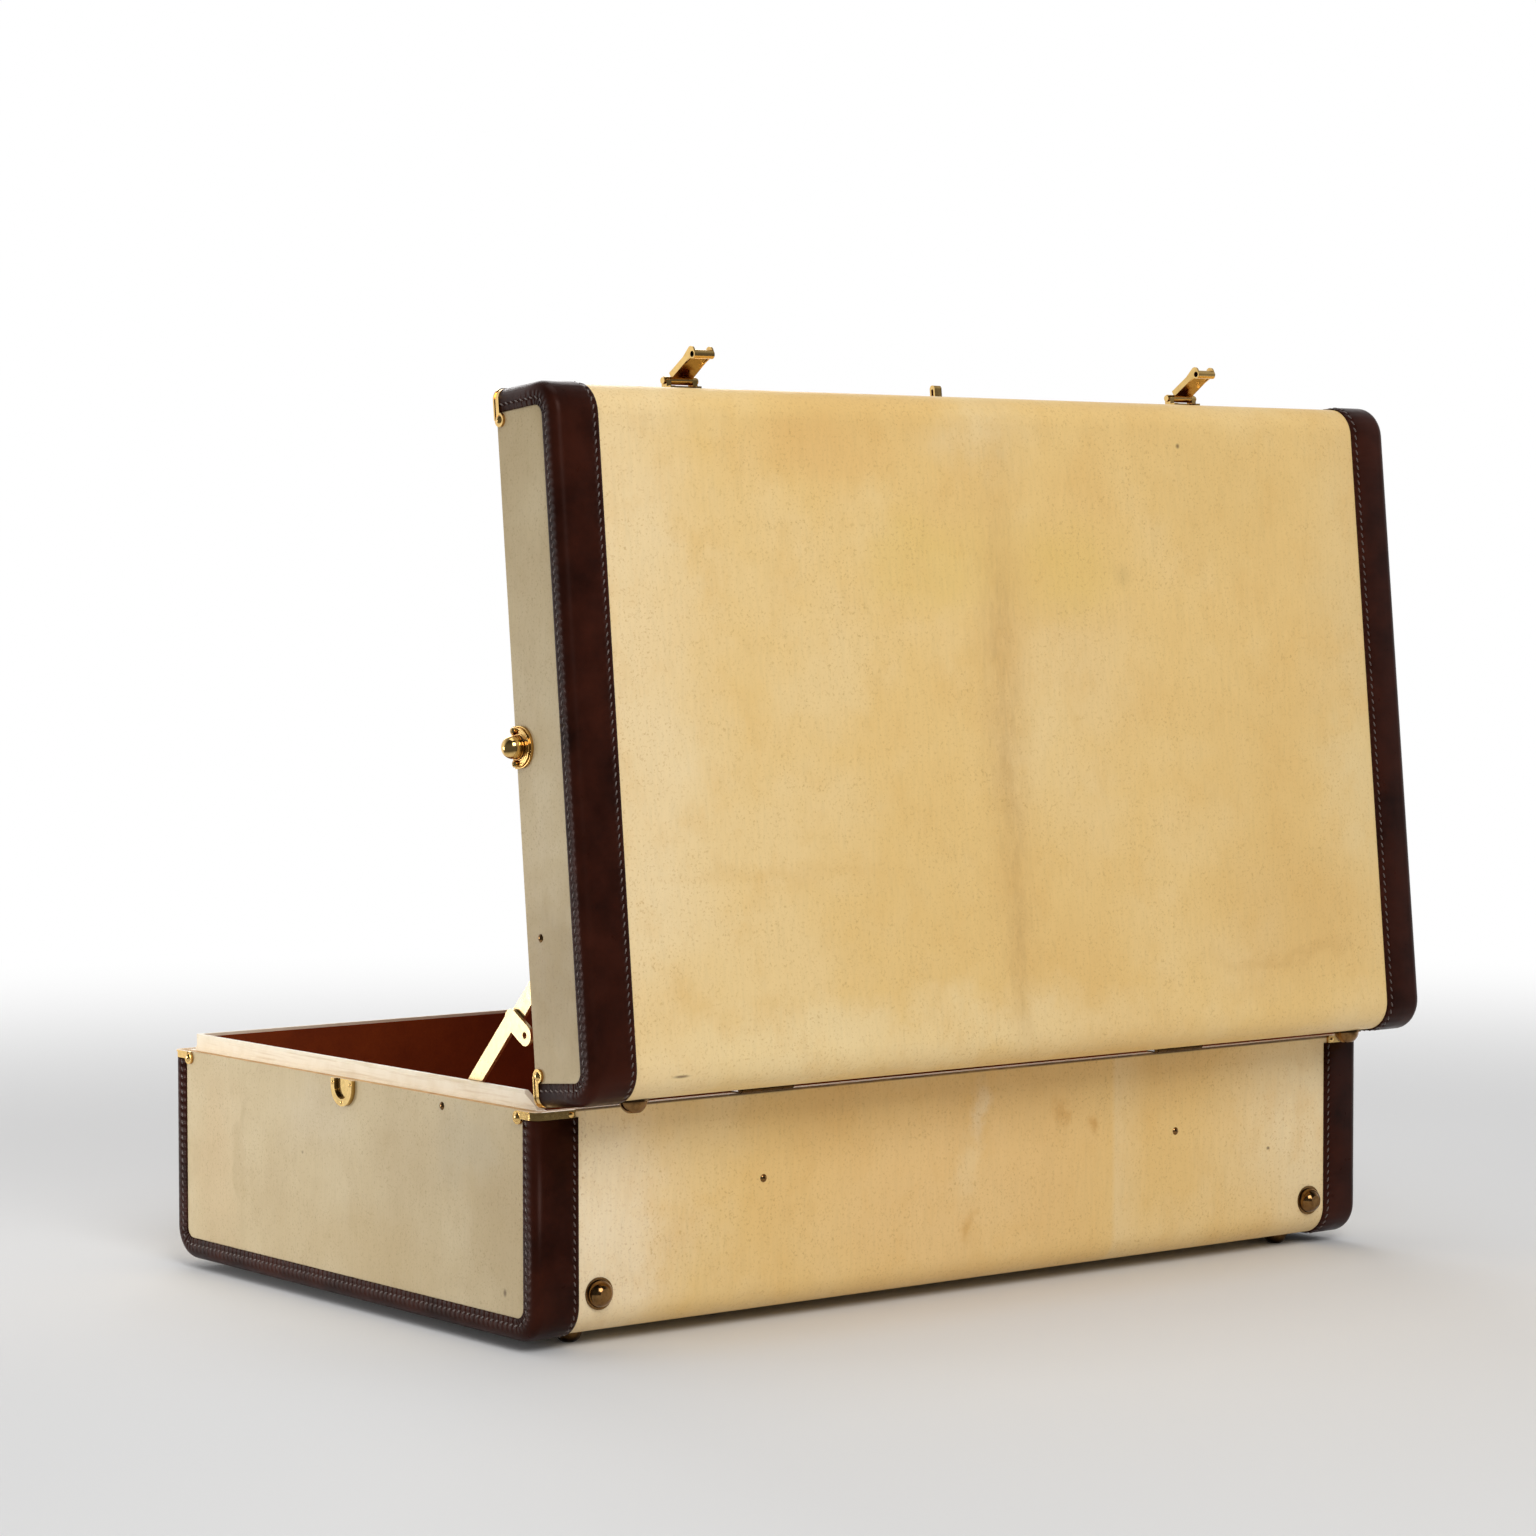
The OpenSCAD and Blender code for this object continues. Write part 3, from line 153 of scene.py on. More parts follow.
def addNode(tree, kind, settings, output=None):
    node = tree.nodes.new("ShaderNode" + kind)
    for key, value in settings.items():
        if isinstance(value, bpy.types.NodeSocket):
            tree.links.new(value, node.inputs[key])
        elif key == "stops":
            elements = node.color_ramp.elements
            while len(elements) < len(value):
                elements.new(0.5)
            for element, (position, tone) in zip(elements, value):
                element.position = position
                element.color = linear(tone)
        elif isinstance(key, int) or key in node.inputs:
            node.inputs[key].default_value = linear(value) if isinstance(value, str) else value
        else:
            setattr(node, key, value)
    return node if output is None else node.outputs[output]


def newMaterial(name):
    material = bpy.data.materials.new(name)
    material.use_nodes = True
    material.node_tree.nodes.clear()
    return material, material.node_tree


def perMm(size):
    return 1 / (size * mm)  # a noise scale whose features are about this many millimetres


def mottle(tree, place, size, detail, roughness, stops, stretch=(1, 1, 1)):
    # Uneven patches about size millimetres across, in the tones of the stops
    stretched = addNode(tree, "Mapping", {"Vector": place, "Scale": stretch}, "Vector")
    patches = addNode(tree, "TexNoise", {"Vector": stretched, "Scale": perMm(size),
                                         "Detail": detail, "Roughness": roughness}, "Fac")
    return addNode(tree, "ValToRGB", {"Fac": patches, "stops": stops}, "Color")


def waves(tree, along, pitch):
    phase = addNode(tree, "Math", {"operation": "MULTIPLY", 0: along,
                                   1: 2 * math.pi / (pitch * mm)}, 0)
    return addNode(tree, "Math", {"operation": "SINE", 0: phase}, 0)


def fromLine(tree, place, y, z):
    # Distance from a line that runs along X
    across = addNode(tree, "Mapping", {"Vector": place, "Location": (0, -y * mm, -z * mm),
                                       "Scale": (0, 1, 1)}, "Vector")
    return addNode(tree, "VectorMath", {"operation": "LENGTH", 0: across}, "Value")


def softSpot(tree, place, across, spot, reach, strength):
    # An oval stain with soft edges, placed along the axis across and in height
    scale, shift = [0, 0, 1 / (reach[1] * mm)], [0, 0, -spot[1] / reach[1]]
    scale[across], shift[across] = 1 / (reach[0] * mm), -spot[0] / reach[0]
    shifted = addNode(tree, "Mapping", {"Vector": place, "Scale": scale, "Location": shift},
                      "Vector")
    away = addNode(tree, "VectorMath", {"operation": "LENGTH", 0: shifted}, "Value")
    stops = [(0.0, strength), (0.4, strength * 0.8), (0.7, strength * 0.3), (1.0, 0.0)]
    return addNode(tree, "ValToRGB", {"Fac": away, "stops": stops}, "Color")


vellum = {
    "cream": "#EAC682", "pale": "#F0D8A6", "warm": "#DFB268",
    "speck": "#B98A48", "shadow": "#AC7C42", "mark": "#5A3F26",
    "cloud": 150, "blotch": 30, "drift": 60, "ripple": 34,  # sizes of the patterns
    "speckle": 1.7, "thread": 2.4,  # twice the real hair marks and fibres, so that they show
    # Stains of the skin: x, z, half width, half height, colour, strength
    "across": 0,
    "stains": [
        (310, 400, 85, 330, "#F4DFB6", 0.6), (-335, 400, 90, 300, "#E3CE9E", 0.45),
        # The band (120, 180), pale across the lid's face just above its lower bend, is a painted highlight, not a
        # stain
        (120, 180, 330, 34, "#F3DEAE", 0.55), (-45, 400, 90, 80, "#EFD8A8", 0.35),
        (95, 260, 135, 115, "#E0BA72", 0.24), (-45, 270, 80, 105, "#E1BA74", 0.18),
        (15, 478, 150, 52, "#E6C476", 0.3), (76, 476, 66, 46, "#E0BE60", 0.22),
        (-54, 472, 54, 44, "#E0BD5C", 0.24),
        (155, 546, 85, 28, "#E0A860", 0.24), (20, 558, 60, 30, "#EAD4A8", 0.35),
        (-190, 520, 110, 60, "#DFBA74", 0.35), (-215, 330, 95, 110, "#DFB872", 0.3),
        (-225, 215, 90, 8, "#CFA566", 0.35), (-235, 240, 110, 75, "#D3A660", 0.3),
        (200, 290, 130, 9, "#DDB470", 0.25),
        # The patches (25, 70), (-70, 85), (310, 70) and (-330, 80) on the base's back are stains, made paler as
        # painted light where the lid's overhang shades the base
        (25, 70, 180, 95, "#EFCC94", 0.5), (-70, 85, 60, 60, "#E6BC78", 0.2),
        (3, 120, 10, 30, "#F2E4C2", 0.4), (14, 88, 18, 24, "#F0DCAC", 0.35),
        (8, 48, 10, 14, "#CE9440", 0.5), (-98, 98, 8, 12, "#C88C38", 0.55),
        (-68, 112, 7, 14, "#CE9648", 0.45), (310, 70, 90, 120, "#FAECD0", 0.7),
        (-330, 80, 140, 120, "#F3E2BE", 0.6),
    ],
    # The warm stain on the back stops sharply at this x: x, width, colour beyond it
    "edge": (-118, 34, "#EBD3A2"),
    # Painted shade along the hinge line, where the gap between lid and base lies dark: where its brown starts to
    # fade and ends
    "seam": (0.7, 1.3), "seamShade": "#4A3018",
    "span": 600,  # height that the strengths below run over
    "spine": {
        "top": (1.4, 570), "bend": (13.0, 428), "wander": 12,
        # Half width, and strengths by height, from 0 at the floor to 1
        "broad": (17.0, [(0.28, 0.05), (0.42, 0.18), (0.62, 0.34),
                         (0.74, 0.34), (0.84, 0.18), (0.97, 0.08)]),
        "narrow": (6.5, [(0.28, 0.0), (0.3, 0.16), (0.38, 0.27), (0.5, 0.16),
                         (0.62, 0.13), (0.7, 0.06), (0.95, 0.0)]),
    },
    # Small marks: x, z, half width, half height, strength
    "marks": [(-265, 73.8, 1.3, 1.0, 0.85), (285, 170.6, 5.0, 0.8, 0.8),
              (-98, 470, 6, 7, 0.12), (-154, 556, 1.4, 1.4, 0.8)],
    "markBlur": 1.6,
}

# The end panels: the same skin as the long faces, made greyer and darker throughout as painted shade, as the ends
# are turned from the key light; its stains and marks are its own
shadedEndVellum = {
    "cream": "#C8B48C", "pale": "#D5C4A0", "warm": "#B69E74",
    "speck": "#8E7048", "mark": "#5A3F26",
    "cloud": 70, "blotch": 22, "drift": 60, "ripple": 34, "speckle": 1.5, "thread": 2.0,
    # The end panels' stains: y, z, half width, half height, colour, strength
    "across": 1,
    "stains": [
        (10, 38, 130, 42, "#BFA677", 0.5), (-185, 80, 40, 80, "#CDB288", 0.5),
        (-152, 86, 9, 60, "#AE9468", 0.35), (-60, 120, 60, 30, "#CDBDA0", 0.4),
        (120, 118, 50, 34, "#B7A98C", 0.45), (165, 75, 70, 80, "#B39A6E", 0.5),
        # The darker patches (225, 225) and (225, 575) on the lid's end are painted shade, not stains
        (225, 225, 90, 80, "#977F55", 0.6), (225, 575, 60, 60, "#A48C5C", 0.55),
        (215, 400, 60, 60, "#CBB994", 0.3), (238, 452, 5, 12, "#DCCDAA", 0.4),
    ],
    "marks": [(159.2, 34.6, 1.5, 2.0, 0.8), (-75, 95, 1.0, 1.0, 0.5)],
    "markBlur": 1.6,
}


def addSpine(tree, place, axes, height, look, tone):
    # The line of the animal's spine: broad and faint above, narrow and dark below
    spine = look["spine"]
    line = addNode(tree, "MapRange", {
        "Value": axes.outputs["Z"],
        "From Min": spine["bend"][1] * mm, "From Max": spine["top"][1] * mm,
        "To Min": spine["bend"][0] * mm, "To Max": spine["top"][0] * mm}, "Result")
    upright = addNode(tree, "Mapping", {"Vector": place, "Scale": (0.1, 0.1, 1)}, "Vector")
    wander = addNode(tree, "TexNoise", {"Vector": upright, "Scale": perMm(60),
                                        "Detail": 3.0, "Roughness": 0.6}, "Fac")
    wander = addNode(tree, "Math", {"operation": "SUBTRACT", 0: wander, 1: 0.5}, 0)
    wander = addNode(tree, "Math", {"operation": "MULTIPLY", 0: wander,
                                    1: spine["wander"] * mm}, 0)
    off = addNode(tree, "Math", {"operation": "SUBTRACT", 0: axes.outputs["X"], 1: line}, 0)
    off = addNode(tree, "Math", {"operation": "SUBTRACT", 0: off, 1: wander}, 0)
    off = addNode(tree, "Math", {"operation": "ABSOLUTE", 0: off}, 0)
    broken = mottle(tree, place, 9, 5.0, 0.75, [(0.36, 0.35), (0.62, 1.0)], (1.5, 1, 0.4))
    for reach, strengths in (spine["broad"], spine["narrow"]):
        away = addNode(tree, "Math", {"operation": "MULTIPLY", 0: off,
                                      1: 1 / (reach * 2 * mm)}, 0)
        band = addNode(tree, "ValToRGB", {"Fac": away, "stops": [
            (0.0, 1.0), (0.35, 0.6), (0.7, 0.12), (1.0, 0.0)]}, "Color")
        strength = addNode(tree, "ValToRGB", {"Fac": height, "stops": strengths}, "Color")
        part = addNode(tree, "Math", {"operation": "MULTIPLY", 0: band, 1: broken}, 0)
        part = addNode(tree, "Math", {"operation": "MULTIPLY", 0: part, 1: strength}, 0)
        tone = addNode(tree, "Mix", {"data_type": "RGBA", 0: part, 6: tone,
                                     7: look["shadow"]}, 2)
    return tone


def addBackStains(tree, place, axes, look, tone):
    # What only the long faces have: the stain's sharp edge, the spine and painted shade along the hinge seam
    height = addNode(tree, "Math", {"operation": "MULTIPLY", 0: axes.outputs["Z"],
                                    1: 1 / (look["span"] * mm)}, 0)
    x, width, colour = look["edge"]
    beyond = addNode(tree, "Math", {"operation": "SUBTRACT", 0: x * mm,
                                    1: axes.outputs["X"]}, 0)
    beyond = addNode(tree, "Math", {"operation": "MULTIPLY", 0: beyond,
                                    1: 1 / (width * mm)}, 0)
    sharp = addNode(tree, "ValToRGB", {"Fac": beyond, "stops": [
        (0.0, 0.0), (0.12, 0.5), (1.0, 0.0)]}, "Color")
    onBase = addNode(tree, "ValToRGB", {"Fac": height, "stops": [
        (0.24, 1.0), (0.26, 0.0)]}, "Color")
    stained = addNode(tree, "Math", {"operation": "MULTIPLY", 0: sharp, 1: onBase}, 0)
    tone = addNode(tree, "Mix", {"data_type": "RGBA", 0: stained, 6: tone, 7: colour}, 2)
    tone = addSpine(tree, place, axes, height, look, tone)
    seam = math.hypot(hingeSpot.y - baseHigh.y, hingeSpot.z - baseHigh.z)
    # Painted shade: dark brown close to the hinge line, for the shaded gap between lid and base
    worn = addNode(tree, "MapRange", {
        "Value": fromLine(tree, place, hingeSpot.y, hingeSpot.z),
        "From Min": (seam + look["seam"][0]) * mm, "From Max": (seam + look["seam"][1]) * mm,
        "To Min": 0.9, "To Max": 0.0}, "Result")
    return addNode(tree, "Mix", {"data_type": "RGBA", 0: worn, 6: tone, 7: look["seamShade"]}, 2)


def makeVellum(name, look):
    # Vellum, scraped calfskin varnished over board: honey cream with soft stains, the darker
    # line of the spine, fine brown specks and upright threads, a satin face
    material, tree = newMaterial(name)
    place = addNode(tree, "TexCoord", {}, "Object")
    axes = addNode(tree, "SeparateXYZ", {"Vector": place})
    tone = mottle(tree, place, look["cloud"], 4.0, 0.55,
                  [(0.34, look["pale"]), (0.5, look["cream"]), (0.7, look["warm"])])
    tone = addNode(tree, "Mix", {"data_type": "RGBA", 0: 0.6, 6: tone, 7: look["cream"]}, 2)
    # The stains' edges drift to either side
    drift = look["drift"] * mm
    sway = addNode(tree, "TexNoise", {"Vector": place, "Scale": perMm(45), "Detail": 5.0,
                                      "Roughness": 0.62}, "Color")
    drifted = addNode(tree, "VectorMath", {"operation": "MULTIPLY_ADD", 0: sway,
                                           1: (drift, drift, drift), 2: place}, "Vector")
    centred = addNode(tree, "VectorMath", {"operation": "SUBTRACT", 0: drifted,
                                           1: (drift / 2, drift / 2, drift / 2)}, "Vector")
    for x, z, wide, high, colour, strength in look["stains"]:
        soft = softSpot(tree, centred, look["across"], (x, z), (wide, high), strength)
        tone = addNode(tree, "Mix", {"data_type": "RGBA", 0: soft, 6: tone, 7: colour}, 2)
    if "spine" in look:
        tone = addBackStains(tree, place, axes, look, tone)
    blotches = mottle(tree, place, look["blotch"], 6.0, 0.66, [(0.5, 0.0), (0.78, 0.4)],
                      (1, 1, 0.8))
    tone = addNode(tree, "Mix", {"data_type": "RGBA", 0: blotches, 6: tone,
                                 7: look["warm"]}, 2)
    speckle = addNode(tree, "TexNoise", {"Vector": place, "Scale": perMm(look["speckle"]),
                                         "Detail": 3.0, "Roughness": 0.65}, "Fac")
    dots = addNode(tree, "ValToRGB", {"Fac": speckle, "stops": [
        (0.55, 0.0), (0.72, 1.0)]}, "Color")
    where = mottle(tree, place, 50, 3.0, 0.6, [(0.3, 0.2), (0.7, 0.62)])
    dots = addNode(tree, "Math", {"operation": "MULTIPLY", 0: dots, 1: where}, 0)
    tone = addNode(tree, "Mix", {"data_type": "RGBA", 0: dots, 6: tone, 7: look["speck"]}, 2)
    upright = addNode(tree, "Mapping", {"Vector": place, "Scale": (1, 1, 0.1)}, "Vector")
    threads = addNode(tree, "TexNoise", {"Vector": upright, "Scale": perMm(look["thread"]),
                                         "Detail": 3.0, "Roughness": 0.6}, "Fac")
    shade = addNode(tree, "ValToRGB", {"Fac": threads, "stops": [
        (0.3, 0.965), (0.5, 1.0), (0.72, 1.02)]}, "Color")
    tone = addNode(tree, "Mix", {"data_type": "RGBA", "blend_type": "MULTIPLY",
                                 0: 1.0, 6: tone, 7: shade}, 2)
    blur = look["markBlur"]
    for x, z, wide, high, strength in look["marks"]:
        mark = softSpot(tree, place, look["across"], (x, z), (wide * blur, high * blur),
                        strength)
        tone = addNode(tree, "Mix", {"data_type": "RGBA", 0: mark, 6: tone,
                                     7: look["mark"]}, 2)
    gloss = mottle(tree, place, 16, 3.0, 0.6, [(0.3, 0.36), (0.7, 0.5)])
    ripples = addNode(tree, "TexNoise", {"Vector": place, "Scale": perMm(look["ripple"]),
                                         "Detail": 2.0, "Roughness": 0.5}, "Fac")
    relief = addNode(tree, "Bump", {"Height": ripples, "Distance": 0.35 * mm,
                                    "Strength": 0.5}, "Normal")
    for height in (threads, speckle):
        relief = addNode(tree, "Bump", {"Height": height, "Distance": 0.05 * mm,
                                        "Strength": 0.5, "Normal": relief}, "Normal")
    shader = addNode(tree, "BsdfPrincipled", {
        "Base Color": tone, "Roughness": gloss, "Normal": relief,
        "IOR": 1.5, "Specular IOR Level": 0.3}, "BSDF")
    addNode(tree, "OutputMaterial", {"Surface": shader})
    return material


bridle = {
    "deep": "#1D0B07", "body": "#38180F", "worn": "#4E2A20", "glint": "#F0C8BC",
    "stain": 38, "scuff": 5, "sway": 26,
    "grain": 0.9,    # the real pores are finer, and wouldn't show
    "pitch": 5.2, "pucker": 0.35,  # of the sewing
}


def makeBridle(name, look, stitched=True):
    # Bridle leather, dyed and waxed: near black in the hollows, plum brown where light falls,
    # with a tight shine that breaks over the puckers of the sewing
    material, tree = newMaterial(name)
    coords = addNode(tree, "TexCoord", {})
    place = coords.outputs["Object"]
    tone = mottle(tree, place, look["stain"], 4.0, 0.6,
                  [(0.3, look["deep"]), (0.68, look["body"])])
    scuffs = mottle(tree, place, look["scuff"], 6.0, 0.75, [(0.66, 0.0), (0.8, 1.0)])
    scuffs = addNode(tree, "Math", {"operation": "MULTIPLY", 0: scuffs, 1: 0.25}, 0)
    tone = addNode(tree, "Mix", {"data_type": "RGBA", 0: scuffs, 6: tone, 7: look["worn"]}, 2)
    gloss = mottle(tree, place, 9, 4.0, 0.6, [(0.3, 0.27), (0.75, 0.42)])
    sway = addNode(tree, "TexNoise", {"Vector": place, "Scale": perMm(look["sway"]),
                                      "Detail": 2.0, "Roughness": 0.5}, "Fac")
    relief = addNode(tree, "Bump", {"Height": sway, "Distance": 0.5 * mm,
                                    "Strength": 0.45}, "Normal")
    grain = addNode(tree, "TexNoise", {"Vector": place, "Scale": perMm(look["grain"]),
                                       "Detail": 2.0, "Roughness": 0.5}, "Fac")
    relief = addNode(tree, "Bump", {"Height": grain, "Distance": 0.05 * mm,
                                    "Strength": 0.5, "Normal": relief}, "Normal")
    if stitched:
        # The map's first axis runs along the binding and its second across it, both in metres
        along = addNode(tree, "SeparateXYZ", {"Vector": coords.outputs["UV"]}, "X")
        fade = addNode(tree, "Attribute", {"attribute_type": "GEOMETRY",
                                           "attribute_name": "sewn"}, "Fac")
        pucker = addNode(tree, "Math", {"operation": "MULTIPLY",
                                        0: waves(tree, along, look["pitch"]), 1: fade}, 0)
        relief = addNode(tree, "Bump", {"Height": pucker, "Distance": look["pucker"] * mm,
                                        "Strength": 1.0, "Normal": relief}, "Normal")
    shader = addNode(tree, "BsdfPrincipled", {
        "Base Color": tone, "Roughness": gloss, "Normal": relief,
        "IOR": 1.5, "Specular IOR Level": 0.1, "Specular Tint": look["glint"]}, "BSDF")
    addNode(tree, "OutputMaterial", {"Surface": shader})
    return material


linen = {"dark": "#2A1A17", "light": "#6E5C54", "twist": 0.5}  # length of one turn of the twist


def makeThread(name, look):
    # Waxed linen thread: dark, with painted grey glints mixed into its colour as fine flecks along the twist
    material, tree = newMaterial(name)
    place = addNode(tree, "TexCoord", {}, "Object")
    twist = addNode(tree, "TexNoise", {"Vector": place, "Scale": perMm(look["twist"]),
                                       "Detail": 2.0, "Roughness": 0.5}, "Fac")
    # Painted highlight: the light grey mixed into the colour stands for the thread's glints
    tone = addNode(tree, "Mix", {"data_type": "RGBA", 0: twist, 6: look["dark"],
                                 7: look["light"]}, 2)
    relief = addNode(tree, "Bump", {"Height": twist, "Distance": 0.1 * mm,
                                    "Strength": 0.6}, "Normal")
    shader = addNode(tree, "BsdfPrincipled", {
        "Base Color": tone, "Normal": relief, "Roughness": 0.34, "Sheen Weight": 0.2,
        "Coat Weight": 0.25, "Coat Roughness": 0.25}, "BSDF")
    addNode(tree, "OutputMaterial", {"Surface": shader})
    return material


knobLow, knobHigh = boxInMm("catch_knob_right")
knobMiddle = (knobLow + knobHigh) / 2

# The metal, its tarnish, and painted shade in hollows narrower than reach, orange-brown in the polished finishes
# as painted light bounced about inside
polished = {"bright": "#F2CA80", "dark": "#94641F", "hollowShade": "#96500E", "reach": 9,
            "roughness": 0.13, "tarnish": 0.3}
turned = {**polished, "hollowShade": "#7A400C", "rings": 1.5}
stamped = {**polished, "bright": "#F4D088", "hollowShade": "#3E240A", "reach": 14}
bronzed = {**polished, "bright": "#8A6840", "dark": "#36220E", "hollowShade": "#1C1006",
           "tarnish": 0.7}
satin = {"bright": "#F0D6A2", "dark": "#B98A48", "hollowShade": "#7A5424", "reach": 9,
         "roughness": 0.34, "tarnish": 0.25}
# The hinge's brass, darkened throughout as painted shade, as it sits in the dark gap under the lid
hingeInShade = {"bright": "#5A4020", "dark": "#2A1B0B", "hollowShade": "#1A0F06", "reach": 9,
        "roughness": 0.34, "tarnish": 0.6}


def makeBrass(name, look):
    # Brass, stamped or turned and polished: a pale gold mirror with painted brown shade in its hollows,
    # with faint cloudy tarnish and hairline scratches
    material, tree = newMaterial(name)
    place = addNode(tree, "TexCoord", {}, "Object")
    cloudy = mottle(tree, place, 4, 5.0, 0.65, [(0.42, 0.0), (0.75, 1.0)])
    cloudy = addNode(tree, "Math", {"operation": "MULTIPLY", 0: cloudy,
                                    1: look["tarnish"]}, 0)
    tone = addNode(tree, "Mix", {"data_type": "RGBA", 0: cloudy, 6: look["bright"],
                                 7: look["dark"]}, 2)
    # Painted shade: where ambient occlusion finds a hollow, the colour turns to the hollow's shade colour
    exposed = addNode(tree, "AmbientOcclusion", {"Distance": look["reach"] * mm,
                                                 "samples": 12}, "AO")
    shadedHollows = addNode(tree, "ValToRGB", {"Fac": exposed, "stops": [
        (0.25, 0.95), (0.8, 0.0)]}, "Color")
    tone = addNode(tree, "Mix", {"data_type": "RGBA", 0: shadedHollows, 6: tone,
                                 7: look["hollowShade"]}, 2)
    gloss = mottle(tree, place, 2.2, 4.0, 0.6, [(0.3, look["roughness"] * 0.7),
                                                (0.75, look["roughness"] * 1.5)])
    combed = addNode(tree, "Mapping", {"Vector": place, "Scale": (0.15, 1, 1)}, "Vector")
    # Real hairlines are finer, and wouldn't show
    scratches = addNode(tree, "TexNoise", {"Vector": combed, "Scale": perMm(0.8),
                                           "Detail": 2.0, "Roughness": 0.5}, "Fac")
    relief = addNode(tree, "Bump", {"Height": scratches, "Distance": 0.02 * mm,
                                    "Strength": 0.3}, "Normal")
    if "rings" in look:
        # Fine rings left by the lathe, about the knob's middle
        radius = fromLine(tree, place, knobMiddle.y, knobMiddle.z)
        relief = addNode(tree, "Bump", {
            "Height": waves(tree, radius, look["rings"]), "Distance": 0.09 * mm,
            "Strength": 0.8, "Normal": relief}, "Normal")
    shader = addNode(tree, "BsdfPrincipled", {
        "Base Color": tone, "Roughness": gloss, "Normal": relief, "Metallic": 1.0}, "BSDF")
    addNode(tree, "OutputMaterial", {"Surface": shader})
    return material


drill = {
    "rust": "#7C2E0A", "faded": "#98400F",
    "weave": 1.2,    # the real twill is finer, and wouldn't show
}


def makeLining(name, look):
    # Cotton drill pasted to the boards: rust brown, matt, a fine slanting weave
    material, tree = newMaterial(name)
    place = addNode(tree, "TexCoord", {}, "Object")
    axes = addNode(tree, "SeparateXYZ", {"Vector": place})
    slant = addNode(tree, "Math", {"operation": "ADD", 0: axes.outputs["X"],
                                   1: axes.outputs["Y"]}, 0)
    slant = addNode(tree, "Math", {"operation": "ADD", 0: slant, 1: axes.outputs["Z"]}, 0)
    tone = mottle(tree, place, 60, 4.0, 0.6, [(0.3, look["rust"]), (0.7, look["faded"])])
    dusty = mottle(tree, place, 1.4, 3.0, 0.6, [(0.3, 0.82), (0.7, 1.0)])
    tone = addNode(tree, "Mix", {"data_type": "RGBA", "blend_type": "MULTIPLY",
                                 0: 1.0, 6: tone, 7: dusty}, 2)
    relief = addNode(tree, "Bump", {"Height": waves(tree, slant, look["weave"]),
                                    "Distance": 0.1 * mm, "Strength": 0.5}, "Normal")
    shader = addNode(tree, "BsdfPrincipled", {
        "Base Color": tone, "Normal": relief, "Roughness": 0.75,
        "Specular IOR Level": 0.2}, "BSDF")
    addNode(tree, "OutputMaterial", {"Surface": shader})
    return material


frameSkin = {
    "ivory": "#F8EAD0", "soiled": "#E2CBA2", "lamination": "#CDAE7C", "hingeShade": "#3E2712",
    "ply": 2.5, "hingeShadeReach": (5.5, 8.5),  # thickness of a layer, distances from the hinge line
}


def makeFrameSkin(name, look):
    # Limewood faced with pale vellum: ivory, lightly soiled where hands and the lid rub it, with
    # tan laminations, and painted brown shade along the hinge line, where the gap lies dark
    material, tree = newMaterial(name)
    place = addNode(tree, "TexCoord", {}, "Object")
    soil = mottle(tree, place, 18, 5.0, 0.65, [(0.45, 0.0), (0.8, 1.0)])
    soil = addNode(tree, "Math", {"operation": "MULTIPLY", 0: soil, 1: 0.5}, 0)
    tone = addNode(tree, "Mix", {"data_type": "RGBA", 0: soil, 6: look["ivory"],
                                 7: look["soiled"]}, 2)
    level = addNode(tree, "Mapping", {"Vector": place, "Scale": (0.04, 0.04, 1)}, "Vector")
    streaks = addNode(tree, "TexNoise", {"Vector": level, "Scale": perMm(look["ply"]),
                                         "Detail": 3.0, "Roughness": 0.6}, "Fac")
    plies = addNode(tree, "ValToRGB", {"Fac": streaks, "stops": [
        (0.52, 0.0), (0.7, 0.45)]}, "Color")
    tone = addNode(tree, "Mix", {"data_type": "RGBA", 0: plies, 6: tone,
                                 7: look["lamination"]}, 2)
    start, end = look["hingeShadeReach"]
    # Painted shade: dark brown close to the hinge line, for the shaded gap between lid and base
    hingeShade = addNode(tree, "MapRange", {
        "Value": fromLine(tree, place, hingeSpot.y, hingeSpot.z),
        "From Min": start * mm, "From Max": end * mm, "To Min": 1.0, "To Max": 0.0}, "Result")
    tone = addNode(tree, "Mix", {"data_type": "RGBA", 0: hingeShade, 6: tone, 7: look["hingeShade"]}, 2)
    relief = addNode(tree, "Bump", {"Height": streaks, "Distance": 0.06 * mm,
                                    "Strength": 0.5}, "Normal")
    shader = addNode(tree, "BsdfPrincipled", {
        "Base Color": tone, "Normal": relief, "Roughness": 0.42, "Coat Weight": 0.1,
        "Coat Roughness": 0.3}, "BSDF")
    addNode(tree, "OutputMaterial", {"Surface": shader})
    return material


poplar = {"dark": "#B98A55", "light": "#D6AE78", "fibre": 1.5}  # width of a streak of grain


